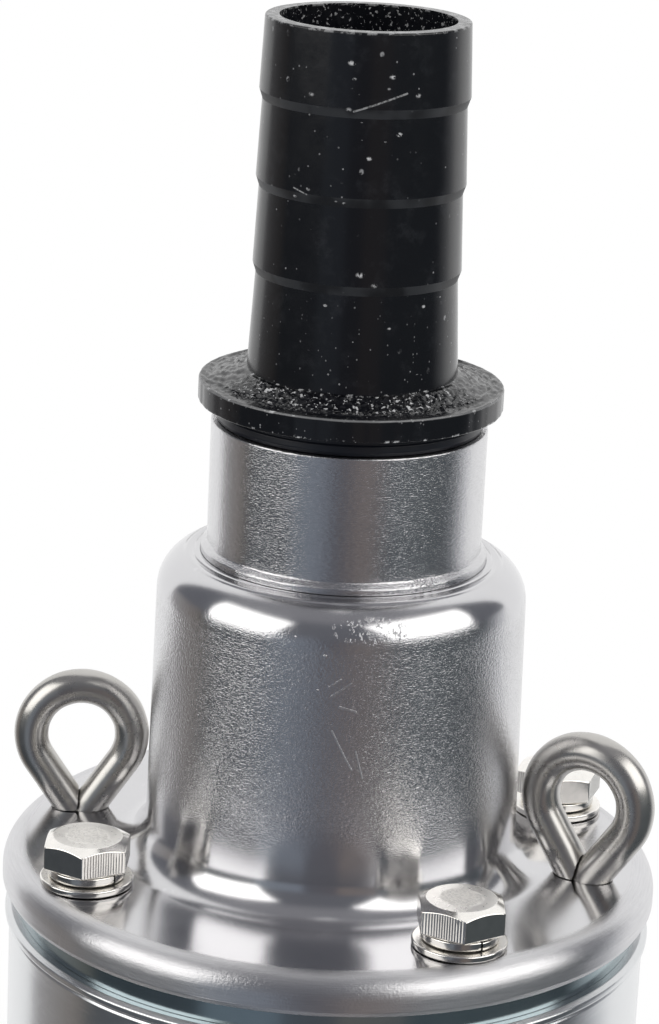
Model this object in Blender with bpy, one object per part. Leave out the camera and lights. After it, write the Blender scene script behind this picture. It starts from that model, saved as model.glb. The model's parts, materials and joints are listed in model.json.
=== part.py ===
# Borehole submersible pump: hose barb and bolted head on top, a multistage
# pump barrel, a strainer round the suction bracket, and the motor at the bottom.
# Sizes are in millimetres; the meshes are written in metres, +Z up.
# The pump stands on its motor base at z = 0 with its axis on the origin.

import math

import bmesh
import bpy
from mathutils import Vector

MM = 0.001

# Clearances
SEAT = 0.3            # between pieces that seat on each other
STACK = 0.15          # between the pieces of a bolt stack
RUNNING = 0.5         # between pieces that turn and pieces that stand still
PAST = 1.0            # how far a cutter reaches past the face it cuts
SUNK = 1.0            # how far one shape reaches into another it is joined to

# Facets round a turned piece
LARGE_FACETS = 24
MEDIUM_FACETS = 18
SMALL_FACETS = 12
HOLE_FACETS = 10
SCREW_FACETS = 8
WHEEL_FACETS = 16
VANE_STATION_COUNT = 4

# Hose barb, made for a hose of 32 mm bore
BARB_RIM_R = 16.0
BARB_RIDGE_UP = 0.5
BARB_ROOT_UP = 0.8
BARB_WALL = 2.2
BARB_RIM_H = 57.8     # rim above the collar
RIDGE_SPACING = 13.7
RIDGE_TOP_DROP = 11.5  # first ridge below the rim
RIDGE_COUNT = 3
RIDGE_CHAMFER = 1.5
COLLAR_OVERHANG = 2.2  # past the neck
COLLAR_H = 3.6
BOSS_UP = 0.4
BOSS_LENGTH = 19.5

# Outlet gasket and neck
GASKET_STEP = 0.7     # inside the neck's outer face
GASKET_H = 2.5
NECK_WALL = 5.14
NECK_H = 21.6
NECK_BEVEL = 0.5
NECK_WELD_W = 1.1
NECK_WELD_H = 1.8

# Discharge head: flange and drawn cap
NECK_STEP = 7.7       # the cap's top past the neck
CAP_TAPER = 0.8       # the cap's foot past its top
CAP_H = 57.0          # underside of the flange to the top of the cap
CAP_WALL = 2.6
CAP_OPENING_ROOM = 0.55
SHOULDER_R = 8.0
FOOT_FILLET = 5.6
FLANGE_H = 6.3
RIM_ROUND = 3.9
CAP_TO_WASHER = 5.65
BOLT_INSET = 10.05    # bolt circle inside the flange's edge

# Head fasteners, on one bolt circle
BOLT_COUNT = 4
FIRST_BOLT_DEG = -61.6
BOLT_R = 4.0
BOLT_HOLE_R = 4.5
BOLT_ACROSS_FLATS = 13.0
BOLT_HEAD_H = 4.9
HEAD_BOLT_LENGTH = 24.0
HEX_TURN_DEG = (-85.8, 12.0, 40.0, -91.8)
WASHER_R = 7.5
WASHER_H = 1.1
SPRING_WASHER_R = 6.2
SPRING_WASHER_H = 1.5
SPLIT_DEG = (-20.0, 60.0, 150.0, -50.0)
SPLIT_WIDTH_DEG = 16.0
CROWN_SHARE = 0.475   # of the width across flats
CROWN_SLOPE_DEG = 30.0
TIP_SHARE = 0.8       # of the shank

# Lifting eyes, bent from round rod
EYE_WIRE_R = 2.9
EYE_RING_R = 8.4
EYE_V_DEG = 34.0      # lean of the two arms from upright
EYE_V_DROP = 1.9      # where the arms would meet, below the flange's top
EYE_HOLE_R = 4.0
EYE_INSET = 0.65      # inside the bolt circle
EYE_DEG = {"lifting_eye_right": -12.0, "lifting_eye_left": 165.0}
EYE_OFFSET = 0.75     # shank's axis from the middle of the ring
EYE_BEND = 2.2
EYE_STEP_COUNT = 18
EYE_SIDE_COUNT = 8
EYE_SHANK = 18.0
EYE_CLEAR = 0.35
EYE_TURN_DEG = {"lifting_eye_right": -27.0, "lifting_eye_left": 4.0}

# Check valve in the head
VALVE_LIP_INSET = 6.2
VALVE_SEAT_H = 4.0
VALVE_LIP_H = 3.0
POPPET_INSET = 1.9
VALVE_BORE_INSET = 3.1
POPPET_H = 3.2
STEM_R = 3.0
STEM_LENGTH = 24.0
CAGE_RING_W = 3.2
CAGE_RING_H = 4.0
CAGE_H = 26.0
CAGE_HUB_R = 7.0
CAGE_HUB_H = 6.0
CAGE_LEG_COUNT = 3
CAGE_LEG_W = 4.0
SPRING_WIRE_R = 0.6
SPRING_R = 5.2
SPRING_TURN_COUNT = 4.5
SPRING_STEP_COUNT = 40
SPRING_SIDE_COUNT = 6

# Pump barrel
FLANGE_OVERHANG = 1.2  # flange past the barrel
BARREL_WALL = 2.1
BEAD_UP = 0.7
BEAD_H = 2.4
BEAD_SLOPE = 0.72

# Top bearing housing
BAND_STEP = 1.4       # band inside the barrel's outer face
BAND_H = 3.8
HOUSING_H = 26.0
HOUSING_RING_W = 7.25  # bolt circle to the ring's bore
HOUSING_LIP_H = 4.0
HOUSING_HUB_WALL = 3.8
HOUSING_HUB_H = 10.5
HOUSING_HUB_DROP = 1.0
HOUSING_ARM_COUNT = 4
HOUSING_ARM_W = 7.0
VALVE_LEDGE = 4.2     # width of the ledge that the valve seat stands on
TAPPED_DEPTH = 20.0
BUSH_WALL = 2.2
JOURNAL_SPARE = 1.0

# Stages
STAGE_COUNT = 3
STAGE_PITCH = 30.0
BOWL_WALL = 2.0
BOWL_FLOOR = 2.2
SEPARATOR_GAP = 6.8   # passage round the separator plate
SEPARATOR_H = 2.2
SEPARATOR_UP = 20.5   # above the bowl's underside
GUIDE_VANE_COUNT = 5
GUIDE_VANE_T = 2.2
GUIDE_START = 7.0     # first edge of a guide vane past the hub's bore
GUIDE_SWEEP_DEG = 62.0
GUIDE_ROOM = 0.6      # under the next bowl
IMPELLER_INSET = 5.0  # inside the separator's edge
IMPELLER_VANE_COUNT = 5
VANE_T = 1.8
VANE_SWEEP_DEG = -85.0
VANE_LEAD = 3.0       # vane's first edge inside the eye
VANE_INSET = 0.6
SHROUD_T = 1.6
EYE_R = 18.6
SKIRT_WALL = 2.6
EYE_FLOOR_H = 4.6     # heights in the impeller are from its skirt's edge
OUTER_FLOOR_H = 8.0
OUTLET_W = 4.2
HUB_ROOF_H = 14.5
HUB_LOW_H = 5.8
HUB_TAPER = 1.6
IMPELLER_HUB_R = 10.2
IMPELLER_UP = 0.8     # skirt's lower edge above the bowl's underside
PUMP_SHAFT_R = 7.0
JOURNAL_R = 6.2
NUT_ACROSS_FLATS = 19.0
NUT_H = 5.0

# Suction bracket and strainer
REGISTER_H = 14.7
SHOULDER_H = 5.7
STRAINER_H = 36.0
STRAINER_STEP = 3.6   # strainer's seat inside the barrel's outer face
STRAINER_WALL = 1.1
STRAINER_SLOT_COUNT = 24
STRAINER_SLOT_SHARE = 0.36
STRAINER_END = 4.5
LIP_STEP = 1.1        # lip inside the barrel's outer face
LIP_H = 4.0
LIP_SLOPE_H = 3.0
WAIST_H = 12.5
WAIST_TO_BOLT = 10.0
FOOT_H = 8.0
FOOT_STEP = 0.5       # foot inside the motor shell's outer face
CHAMBER_WALL = 4.5
CHAMBER_FLOOR = 3.0
SUCTION_ROOF = 5.4
SUCTION_BORE_R = 13.5
SLINGER_POCKET_R = 19.5
SLINGER_POCKET_H = 9.0
WINDOW_COUNT = 6
WINDOW_DEG = 38.0
WINDOW_MARGIN = 4.5
COUPLING_R = 11.0
COUPLING_LENGTH = 30.0
COUPLING_BEVEL = 1.0
BRACKET_BOLT_INSET = 9.0
BRACKET_BOLT_LENGTH = 17.0
BRACKET_FIRST_DEG = 45.0
TAP_RUNOUT = 5.0      # bolt hole past the bolt's tip
GLAND_DEG = 90.0
GLAND_INSET = 9.5
GLAND_ACROSS_FLATS = 13.0
GLAND_H = 15.0
GLAND_HEX_H = 9.0
GLAND_COLLAR_INSET = 1.5
GLAND_BORE_R = 3.6
GLAND_SPIGOT_R = 5.0
GLAND_SPIGOT_H = 6.0
GLAND_BORE_DEPTH = 3.0
GLAND_ROOM = 1.0

# Motor
SHELL_R = 48.0
SHELL_WALL = 1.9
STATOR_H = 90.0
STATOR_DEPTH = 20.2   # shell's bore to the stator's bore
AIR_GAP = 0.8
ROTOR_SHORTER = 1.0   # rotor core inside each end of the stator
WINDING_INSET = 3.4
WINDING_BORE_UP = 3.8
WINDING_H = 13.0
WINDING_ROUND_H = 3.9
UPPER_END_SPACE = 4.7
LOWER_END_SPACE = 11.3
MOTOR_FLANGE_H = 9.7
MOTOR_REGISTER_H = 17.0
MOTOR_SHAFT_R = 7.5
SHAFT_SHOULDER = 1.0
SHAFT_THROAT = 2.0
SEAL_POCKET_R = 17.0
SEAL_POCKET_H = 13.0
SEAL_SEAT_H = 4.4
SEAL_SEAT_ROOM = 1.5
SEAL_ROTOR_H = 6.6
SEAL_ROTOR_R = 12.8
SEAL_ROTOR_LIP_H = 2.5
SEAL_ROTOR_TAPER = 2.0
SLINGER_R = 16.5
SLINGER_H = 4.5
SLINGER_UP = 1.0
SLINGER_NECK_W = 3.0
SLINGER_LIP_H = 1.5
BEARING_R = 17.5
BEARING_H = 10.0
BEARING_ROOM = 0.5    # shaft to the bearing's bore
LOWER_BRACKET_H = 18.0
SHAFT_WELL_W = 3.0
SHAFT_WELL_H = 3.0
DIAPHRAGM_INSET = 1.4
DIAPHRAGM_RIM_W = 8.8
DIAPHRAGM_T = 2.4
DIAPHRAGM_DISH = 6.0
DIAPHRAGM_SLOPE = 4.0
BASE_FLANGE_H = 9.0
BASE_REGISTER_H = 12.0
BASE_FLOOR_H = 3.0
BASE_BEVEL = 2.0
BASE_RING_W = 12.0
BASE_RECESS_H = 6.0
BASE_RECESS_SLOPE = 3.0
BASE_VENT_COUNT = 6
BASE_VENT_FIRST_DEG = 10.0
BASE_VENT_R = 2.6
BASE_VENT_INSET = 12.0
BASE_WELL_ROOM = 2.0
BASE_SCREW_COUNT = 3
BASE_SCREW_R = 2.5
BASE_SCREW_HEAD_R = 4.4
BASE_SCREW_HEAD_H = 1.6
BASE_SCREW_LENGTH = 8.0
BASE_SCREW_FIRST_DEG = 30.0
PLUG_DEG = -60.0
PLUG_R = 3.0
PLUG_HEAD_R = 3.9
PLUG_HEAD_H = 1.8
PLUG_LENGTH = 8.0

# Radii of the outlet and the head, worked out from the hose outwards
BARB_RIDGE_R = BARB_RIM_R + BARB_RIDGE_UP
BARB_ROOT_R = BARB_RIM_R + BARB_ROOT_UP
BOSS_R = BARB_RIM_R + BOSS_UP
NECK_BORE_R = (BOSS_R + SEAT) / math.cos(math.pi / MEDIUM_FACETS)
NECK_R = NECK_BORE_R + NECK_WALL
NECK_WELD_R = NECK_R + NECK_WELD_W
GASKET_R = NECK_R - GASKET_STEP
COLLAR_R = NECK_R + COLLAR_OVERHANG
CAP_OPENING_R = NECK_BORE_R + CAP_OPENING_ROOM
CAP_TOP_R = NECK_R + NECK_STEP
CAP_FOOT_R = CAP_TOP_R + CAP_TAPER
CAP_BORE_R = CAP_TOP_R - CAP_WALL
BOLT_CIRCLE_R = CAP_FOOT_R + CAP_TO_WASHER + WASHER_R
EYE_CIRCLE_R = BOLT_CIRCLE_R - EYE_INSET
FLANGE_R = BOLT_CIRCLE_R + BOLT_INSET

# Radii in the head
VALVE_BODY_R = CAP_BORE_R * math.cos(math.pi / LARGE_FACETS) - SEAT
VALVE_LIP_R = VALVE_BODY_R - VALVE_LIP_INSET
POPPET_R = VALVE_LIP_R - POPPET_INSET
VALVE_BORE_R = POPPET_R - VALVE_BORE_INSET

# Radii of the pump under the flange
BARREL_R = FLANGE_R - FLANGE_OVERHANG
BARREL_BORE_R = BARREL_R - BARREL_WALL
BEAD_R = BARREL_R + BEAD_UP
BAND_R = BARREL_R - BAND_STEP
BOWL_R = BARREL_BORE_R * math.cos(math.pi / LARGE_FACETS) - SEAT
HOUSING_BORE_R = BOLT_CIRCLE_R - HOUSING_RING_W
HOUSING_OPENING_R = VALVE_BODY_R - VALVE_LEDGE
HOUSING_HUB_BORE_R = JOURNAL_R + RUNNING + BUSH_WALL + SEAT
HOUSING_HUB_R = HOUSING_HUB_BORE_R + HOUSING_HUB_WALL
SEPARATOR_R = BOWL_R - SEPARATOR_GAP
IMPELLER_R = SEPARATOR_R - IMPELLER_INSET
SKIRT_R = EYE_R + SKIRT_WALL
STRAINER_SEAT_R = BARREL_R - STRAINER_STEP
LIP_R = BARREL_R - LIP_STEP
CHAMBER_R = STRAINER_SEAT_R - CHAMBER_WALL

# Radii of the motor, worked out from its shell inwards
FOOT_R = SHELL_R - FOOT_STEP
BRACKET_BOLT_CIRCLE_R = FOOT_R - BRACKET_BOLT_INSET
WAIST_R = BRACKET_BOLT_CIRCLE_R - WAIST_TO_BOLT
GLAND_AT_R = FOOT_R - GLAND_INSET
SHELL_BORE_R = SHELL_R - SHELL_WALL
MOTOR_FIT_R = SHELL_BORE_R * math.cos(math.pi / LARGE_FACETS) - SEAT
STATOR_BORE_R = MOTOR_FIT_R - STATOR_DEPTH
ROTOR_R = STATOR_BORE_R * math.cos(math.pi / MEDIUM_FACETS) - AIR_GAP
WINDING_R = MOTOR_FIT_R - WINDING_INSET
WINDING_BORE_R = STATOR_BORE_R + WINDING_BORE_UP
BEARING_SEAT_R = BEARING_R + SEAT
DIAPHRAGM_R = MOTOR_FIT_R - DIAPHRAGM_INSET
BASE_RECESS_R = SHELL_R - BASE_RING_W
BASE_VENT_AT_R = BASE_RECESS_R - BASE_VENT_INSET

# Heights of the stack, worked out from the motor base upwards
SHELL_BOTTOM = BASE_FLANGE_H + SEAT
BASE_TOP = BASE_FLANGE_H + BASE_REGISTER_H
DIAPHRAGM_TOP = BASE_TOP + SEAT + DIAPHRAGM_T
LOWER_BRACKET_BOTTOM = DIAPHRAGM_TOP + SEAT
LOWER_BRACKET_TOP = LOWER_BRACKET_BOTTOM + LOWER_BRACKET_H
LOWER_WINDING_BOTTOM = LOWER_BRACKET_TOP + LOWER_END_SPACE
STATOR_BOTTOM = LOWER_WINDING_BOTTOM + WINDING_H + SEAT
STATOR_TOP = STATOR_BOTTOM + STATOR_H
UPPER_WINDING_BOTTOM = STATOR_TOP + SEAT
MOTOR_REGISTER_BOTTOM = UPPER_WINDING_BOTTOM + WINDING_H + UPPER_END_SPACE
MOTOR_FLANGE_BOTTOM = MOTOR_REGISTER_BOTTOM + MOTOR_REGISTER_H
SHELL_TOP = MOTOR_FLANGE_BOTTOM - SEAT
MOTOR_TOP = MOTOR_FLANGE_BOTTOM + MOTOR_FLANGE_H
PLUG_Z = MOTOR_FLANGE_BOTTOM + MOTOR_FLANGE_H / 2
BASE_SCREW_Z = BASE_FLANGE_H + BASE_REGISTER_H / 2 + SEAT
FOOT_BOTTOM = MOTOR_TOP + SEAT
FOOT_TOP = FOOT_BOTTOM + FOOT_H
LIP_BOTTOM = FOOT_TOP + WAIST_H
LIP_TOP = LIP_BOTTOM + LIP_H
SHAFT_JOINT_Z = LIP_TOP + COUPLING_LENGTH / 2
SHOULDER_BOTTOM = LIP_TOP + STRAINER_H
SHOULDER_TOP = SHOULDER_BOTTOM + SHOULDER_H
SUCTION_TOP = SHOULDER_TOP + REGISTER_H
STAGE_BOTTOM = SUCTION_TOP + SEAT
STAGE_TOP = STAGE_BOTTOM + STAGE_COUNT * STAGE_PITCH
NUT_BOTTOM = STAGE_TOP + IMPELLER_UP + HUB_LOW_H
HOUSING_BOTTOM = STAGE_TOP
HOUSING_TOP = HOUSING_BOTTOM + HOUSING_H
HOUSING_HUB_TOP = HOUSING_TOP - HOUSING_HUB_DROP
HOUSING_HUB_BOTTOM = HOUSING_HUB_TOP - HOUSING_HUB_H
BAND_BOTTOM = HOUSING_TOP - BAND_H
BARREL_TOP = BAND_BOTTOM - SEAT
BARREL_BOTTOM = SHOULDER_TOP + SEAT
HEAD_Z = HOUSING_TOP + SEAT
FLANGE_TOP = HEAD_Z + FLANGE_H
VALVE_LIP_TOP = HEAD_Z + VALVE_SEAT_H + VALVE_LIP_H
POPPET_TOP = VALVE_LIP_TOP + SEAT * 2 + POPPET_H
CAGE_BOTTOM = HEAD_Z + VALVE_SEAT_H + SEAT
CAGE_TOP = CAGE_BOTTOM + CAGE_H
CAP_TOP = HEAD_Z + CAP_H
NECK_BOTTOM = CAP_TOP + SEAT
NECK_TOP = NECK_BOTTOM + NECK_H
GASKET_BOTTOM = NECK_TOP + SEAT
COLLAR_BOTTOM = GASKET_BOTTOM + GASKET_H + SEAT
COLLAR_TOP = COLLAR_BOTTOM + COLLAR_H
BARB_TOP = COLLAR_TOP + BARB_RIM_H


# Looks

def look(name, colour, roughness, metallic):
    material = bpy.data.materials.new(name)
    material.use_nodes = True
    shader = material.node_tree.nodes["Principled BSDF"]
    shader.inputs["Base Color"].default_value = (*colour, 1.0)
    shader.inputs["Roughness"].default_value = roughness
    shader.inputs["Metallic"].default_value = metallic
    material.diffuse_color = (*colour, 1.0)
    return material


def make_looks():
    return {
        "polished": look("polished_stainless", (0.72, 0.71, 0.69), 0.14, 1.0),
        "brushed": look("brushed_stainless", (0.62, 0.61, 0.60), 0.32, 1.0),
        "cast": look("cast_stainless", (0.42, 0.42, 0.41), 0.48, 1.0),
        "black": look("black_paint", (0.02, 0.021, 0.025), 0.35, 0.0),
        "rubber": look("black_rubber", (0.025, 0.025, 0.027), 0.6, 0.0),
        "plastic": look("stage_plastic", (0.78, 0.77, 0.72), 0.45, 0.0),
        "bronze": look("bearing_bronze", (0.55, 0.36, 0.16), 0.35, 1.0),
        "core": look("core_steel", (0.25, 0.25, 0.26), 0.5, 1.0),
        "copper": look("copper_winding", (0.62, 0.27, 0.12), 0.4, 1.0),
        "ceramic": look("seal_ceramic", (0.82, 0.80, 0.76), 0.3, 0.0),
    }


# Building tools

def polar(radius, degrees):
    angle = math.radians(degrees)
    return radius * math.cos(angle), radius * math.sin(angle)


def to_object(name, mesh, material):
    data = bpy.data.meshes.new(name)
    bmesh.ops.recalc_face_normals(mesh, faces=mesh.faces[:])
    mesh.to_mesh(data)
    mesh.free()
    piece = bpy.data.objects.new(name, data)
    bpy.context.scene.collection.objects.link(piece)
    data.materials.append(material)
    shade(data)
    return piece


def shade(data):
    data.shade_smooth()
    data.set_sharp_from_angle(angle=math.radians(35))


# A profile of (radius, height) points turned about the vertical axis.
def lathe(name, profile, facets, material, turn_deg=0.0):
    mesh = bmesh.new()
    points = []
    for radius, height in profile:
        x, y = polar(radius, turn_deg)
        points.append(mesh.verts.new((x * MM, y * MM, height * MM)))
    edges = []
    closed = points + points[:1]
    radii = [radius for radius, height in profile] + [profile[0][0]]
    for index in range(len(points)):
        if radii[index] > 0 or radii[index + 1] > 0:
            edges.append(mesh.edges.new((closed[index], closed[index + 1])))
    bmesh.ops.spin(mesh, geom=points + edges, cent=(0, 0, 0), axis=(0, 0, 1),
                   angle=math.tau, steps=facets, use_merge=True)
    bmesh.ops.remove_doubles(mesh, verts=mesh.verts[:], dist=1e-7)
    return to_object(name, mesh, material)


# Rings of points joined in order, with both ends closed.
def add_loft(mesh, rings):
    levels = [[mesh.verts.new(Vector(point) * MM) for point in ring] for ring in rings]
    for low, high in zip(levels, levels[1:]):
        count = len(low)
        for index in range(count):
            after = (index + 1) % count
            mesh.faces.new((low[index], low[after], high[after], high[index]))
    mesh.faces.new(levels[0])
    mesh.faces.new(levels[-1])


def loft(name, rings, material):
    mesh = bmesh.new()
    add_loft(mesh, rings)
    return to_object(name, mesh, material)


# Upright prisms, all in one object, to add to a piece or to cut it.
def prisms(name, outlines, bottom, top, material):
    mesh = bmesh.new()
    for outline in outlines:
        low = [(x, y, bottom) for x, y in outline]
        high = [(x, y, top) for x, y in outline]
        add_loft(mesh, [low, high])
    return to_object(name, mesh, material)


def circle(centre, radius, count=HOLE_FACETS, turn_deg=7.0):
    points = []
    for index in range(count):
        x, y = polar(radius, turn_deg + 360.0 * index / count)
        points.append((centre[0] + x, centre[1] + y))
    return points


# A straight bar lying along one radius.
def radial_bar(inner, outer, width, degrees):
    along = Vector(polar(1.0, degrees))
    across = Vector((-along.y, along.x)) * width / 2
    corners = (along * inner - across, along * outer - across,
               along * outer + across, along * inner + across)
    return [(corner.x, corner.y) for corner in corners]


def spaced(count, first_deg=0.0):
    return [first_deg + 360.0 * index / count for index in range(count)]


def combine(target, tool, operation):
    modifier = target.modifiers.new("combine", "BOOLEAN")
    modifier.operation = operation
    modifier.solver = "EXACT"
    modifier.object = tool
    depsgraph = bpy.context.evaluated_depsgraph_get()
    result = bpy.data.meshes.new_from_object(target.evaluated_get(depsgraph))
    target.modifiers.remove(modifier)
    target.data = result
    result.name = target.name
    shade(result)
    bpy.data.objects.remove(tool)
    return target


def join(target, tool):
    return combine(target, tool, "UNION")


def cut(target, tool):
    return combine(target, tool, "DIFFERENCE")


def copy_of(piece, name):
    twin = bpy.data.objects.new(name, piece.data)
    bpy.context.scene.collection.objects.link(twin)
    return twin


def arc(centre, radius, start_deg, end_deg, steps):
    points = []
    for index in range(steps + 1):
        part = start_deg + (end_deg - start_deg) * index / steps
        x, z = polar(radius, part)
        points.append((centre[0] + x, centre[1] + z))
    return points


# Round rod along a path of points, as a bevelled curve with closed ends.
def rod(name, path, radius, sides, material):
    curve = bpy.data.curves.new(name, "CURVE")
    curve.dimensions = "3D"
    curve.bevel_depth = radius * MM
    curve.bevel_resolution = (sides - 4) // 2
    curve.use_fill_caps = True
    curve.materials.append(material)
    spline = curve.splines.new("POLY")
    spline.points.add(len(path) - 1)
    for point, place in zip(spline.points, path):
        point.co = (*(Vector(place) * MM), 1.0)
    spline.use_smooth = True
    piece = bpy.data.objects.new(name, curve)
    bpy.context.scene.collection.objects.link(piece)
    return piece


# Outlet

def barb_outline():
    points = []
    for index in range(RIDGE_COUNT):
        ridge = BARB_TOP - RIDGE_TOP_DROP - RIDGE_SPACING * index
        points.append((BARB_RIDGE_R, ridge))
        points.append((BARB_RIM_R, ridge - RIDGE_CHAMFER))
    return points


def hose_barb(looks):
    bore = BARB_RIM_R - BARB_WALL
    profile = [(bore, BARB_TOP), (BARB_RIM_R, BARB_TOP)]
    profile += barb_outline()
    profile += [(BARB_ROOT_R, COLLAR_TOP), (COLLAR_R, COLLAR_TOP), (COLLAR_R, COLLAR_BOTTOM),
                (BOSS_R, COLLAR_BOTTOM), (BOSS_R, COLLAR_BOTTOM - BOSS_LENGTH),
                (bore, COLLAR_BOTTOM - BOSS_LENGTH)]
    return lathe("hose_barb", profile, MEDIUM_FACETS, looks["black"])


def outlet_gasket(looks):
    inner = NECK_BORE_R + SEAT
    top = GASKET_BOTTOM + GASKET_H
    profile = [(inner, top), (GASKET_R, top), (GASKET_R, GASKET_BOTTOM), (inner, GASKET_BOTTOM)]
    return lathe("outlet_gasket", profile, MEDIUM_FACETS, looks["rubber"])


def discharge_neck(looks):
    profile = [(NECK_BORE_R, NECK_TOP), (NECK_R - NECK_BEVEL, NECK_TOP),
               (NECK_R, NECK_TOP - NECK_BEVEL), (NECK_R, NECK_BOTTOM + NECK_WELD_H),
               (NECK_WELD_R, NECK_BOTTOM + NECK_WELD_H / 2), (NECK_WELD_R, NECK_BOTTOM),
               (NECK_BORE_R, NECK_BOTTOM)]
    return lathe("discharge_neck", profile, MEDIUM_FACETS, looks["polished"])


# Discharge head: a flange with a cap drawn up from it, in one sheet

def head_holes(looks, bottom, top):
    outlines = [circle(polar(BOLT_CIRCLE_R, angle), BOLT_HOLE_R)
                for angle in spaced(BOLT_COUNT, FIRST_BOLT_DEG)]
    outlines += [circle(polar(EYE_CIRCLE_R, angle), EYE_HOLE_R) for angle in EYE_DEG.values()]
    return prisms("head_holes", outlines, bottom, top, looks["polished"])


def discharge_head(looks):
    rim = [(FLANGE_R - RIM_ROUND + RIM_ROUND * math.cos(turn), FLANGE_TOP - RIM_ROUND
            + RIM_ROUND * math.sin(turn)) for turn in (0.0, math.pi / 4, math.pi / 2)]
    foot = arc((CAP_FOOT_R + FOOT_FILLET, FLANGE_TOP + FOOT_FILLET), FOOT_FILLET, 270, 180, 3)
    shoulder = arc((CAP_TOP_R - SHOULDER_R, CAP_TOP - SHOULDER_R), SHOULDER_R, 0, 90, 3)
    inside = arc((CAP_TOP_R - SHOULDER_R, CAP_TOP - SHOULDER_R), SHOULDER_R - CAP_WALL, 90, 0, 2)
    profile = [(CAP_BORE_R, HEAD_Z), (FLANGE_R, HEAD_Z)] + rim + foot + shoulder
    profile += [(CAP_OPENING_R, CAP_TOP), (CAP_OPENING_R, CAP_TOP - CAP_WALL)] + inside
    head = lathe("discharge_head", profile, LARGE_FACETS, looks["brushed"])
    return cut(head, head_holes(looks, HEAD_Z - PAST, FLANGE_TOP + PAST))


# Fasteners

# Radii of a hexagon's corners and of the middles of its flats, in turn.
def hexagon(across_flats):
    corner = across_flats / math.sqrt(3)
    return [corner, across_flats / 2] * 6


# Hexagon screw standing on z = 0 with its shank below; the crown is chamfered.
def hex_screw(name, across_flats, head_h, shank_r, length, material):
    radii = hexagon(across_flats)
    crown_r = across_flats * CROWN_SHARE
    slope = math.tan(math.radians(CROWN_SLOPE_DEG))

    def ring(radius_of, height_of):
        points = []
        for index, angle in enumerate(spaced(len(radii))):
            radius = radius_of(index)
            x, y = polar(radius, angle)
            points.append((x, y, height_of(radius)))
        return points

    tip = shank_r * TIP_SHARE
    rings = [ring(lambda index: tip, lambda radius: -length),
             ring(lambda index: shank_r, lambda radius: shank_r - tip - length),
             ring(lambda index: shank_r, lambda radius: 0.0),
             ring(lambda index: radii[index], lambda radius: 0.0),
             ring(lambda index: radii[index], lambda radius: head_h - (radius - crown_r) * slope),
             ring(lambda index: crown_r, lambda radius: head_h)]
    return loft(name, rings, material)


def flat_washer(name, looks):
    hole = BOLT_R + SEAT
    profile = [(hole, WASHER_H), (WASHER_R, WASHER_H), (WASHER_R, 0.0), (hole, 0.0)]
    return lathe(name, profile, SMALL_FACETS, looks["polished"])


# A split ring whose two ends stand apart by a narrow slot.
def spring_washer(name, looks):
    hole = BOLT_R + SEAT
    rings = []
    for index in range(SMALL_FACETS + 1):
        share = index / SMALL_FACETS
        turn = SPLIT_WIDTH_DEG / 2 + (360.0 - SPLIT_WIDTH_DEG) * share
        section = ((hole, 0.0), (SPRING_WASHER_R, 0.0), (SPRING_WASHER_R, SPRING_WASHER_H),
                   (hole, SPRING_WASHER_H))
        rings.append([(*polar(radius, turn), height) for radius, height in section])
    return loft(name, rings, looks["polished"])


def place(piece, x, y, z, turn_deg=0.0):
    piece.location = Vector((x, y, z)) * MM
    piece.rotation_euler.z = math.radians(turn_deg)
    return piece


def head_fasteners(looks):
    washer_z = FLANGE_TOP + STACK
    split_z = washer_z + WASHER_H + STACK
    head_z = split_z + SPRING_WASHER_H + STACK
    screw = hex_screw("head_bolt_1", BOLT_ACROSS_FLATS, BOLT_HEAD_H, BOLT_R,
                      HEAD_BOLT_LENGTH, looks["polished"])
    split = spring_washer("spring_washer_1", looks)
    washer = flat_washer("flat_washer_1", looks)
    for number, angle in enumerate(spaced(BOLT_COUNT, FIRST_BOLT_DEG), start=1):
        if number > 1:
            screw = copy_of(screw, f"head_bolt_{number}")
            split = copy_of(split, f"spring_washer_{number}")
            washer = copy_of(washer, f"flat_washer_{number}")
        x, y = polar(BOLT_CIRCLE_R, angle)
        place(screw, x, y, head_z, HEX_TURN_DEG[(number - 1) % len(HEX_TURN_DEG)])
        place(split, x, y, split_z, SPLIT_DEG[(number - 1) % len(SPLIT_DEG)])
        place(washer, x, y, washer_z)


# Lifting eyes: the rod rises from its shank, runs up one side of the V, round the ring and
# down the other side until its free end butts against the shank.
def eye_path():
    lean = math.radians(EYE_V_DEG)
    meet = FLANGE_TOP - EYE_V_DROP
    centre_z = meet + EYE_RING_R / math.sin(lean)
    corner = Vector((EYE_OFFSET, meet + EYE_OFFSET / math.tan(lean)))
    start = corner - Vector((0.0, EYE_BEND))
    end = corner + Vector((math.sin(lean), math.cos(lean))) * EYE_BEND
    path = [Vector((EYE_OFFSET, FLANGE_TOP - EYE_SHANK))]
    for share in (0.0, 0.33, 0.67, 1.0):
        path.append(start.lerp(corner, share).lerp(corner.lerp(end, share), share))
    ring = arc((0.0, centre_z), EYE_RING_R, -EYE_V_DEG, 180 + EYE_V_DEG, EYE_STEP_COUNT)
    path += [Vector(point) for point in ring]
    reach = (EYE_WIRE_R * (1 + math.cos(2 * lean)) + EYE_CLEAR) / math.sin(2 * lean)
    path.append(Vector((-math.sin(lean), math.cos(lean))) * reach + Vector((0.0, meet)))
    return [(point.x - EYE_OFFSET, 0.0, point.y) for point in path]


def lifting_eyes(looks):
    for name, angle in EYE_DEG.items():
        eye = rod(name, eye_path(), EYE_WIRE_R, EYE_SIDE_COUNT, looks["polished"])
        x, y = polar(EYE_CIRCLE_R, angle)
        place(eye, x, y, 0.0, EYE_TURN_DEG[name])


# Check valve

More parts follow.
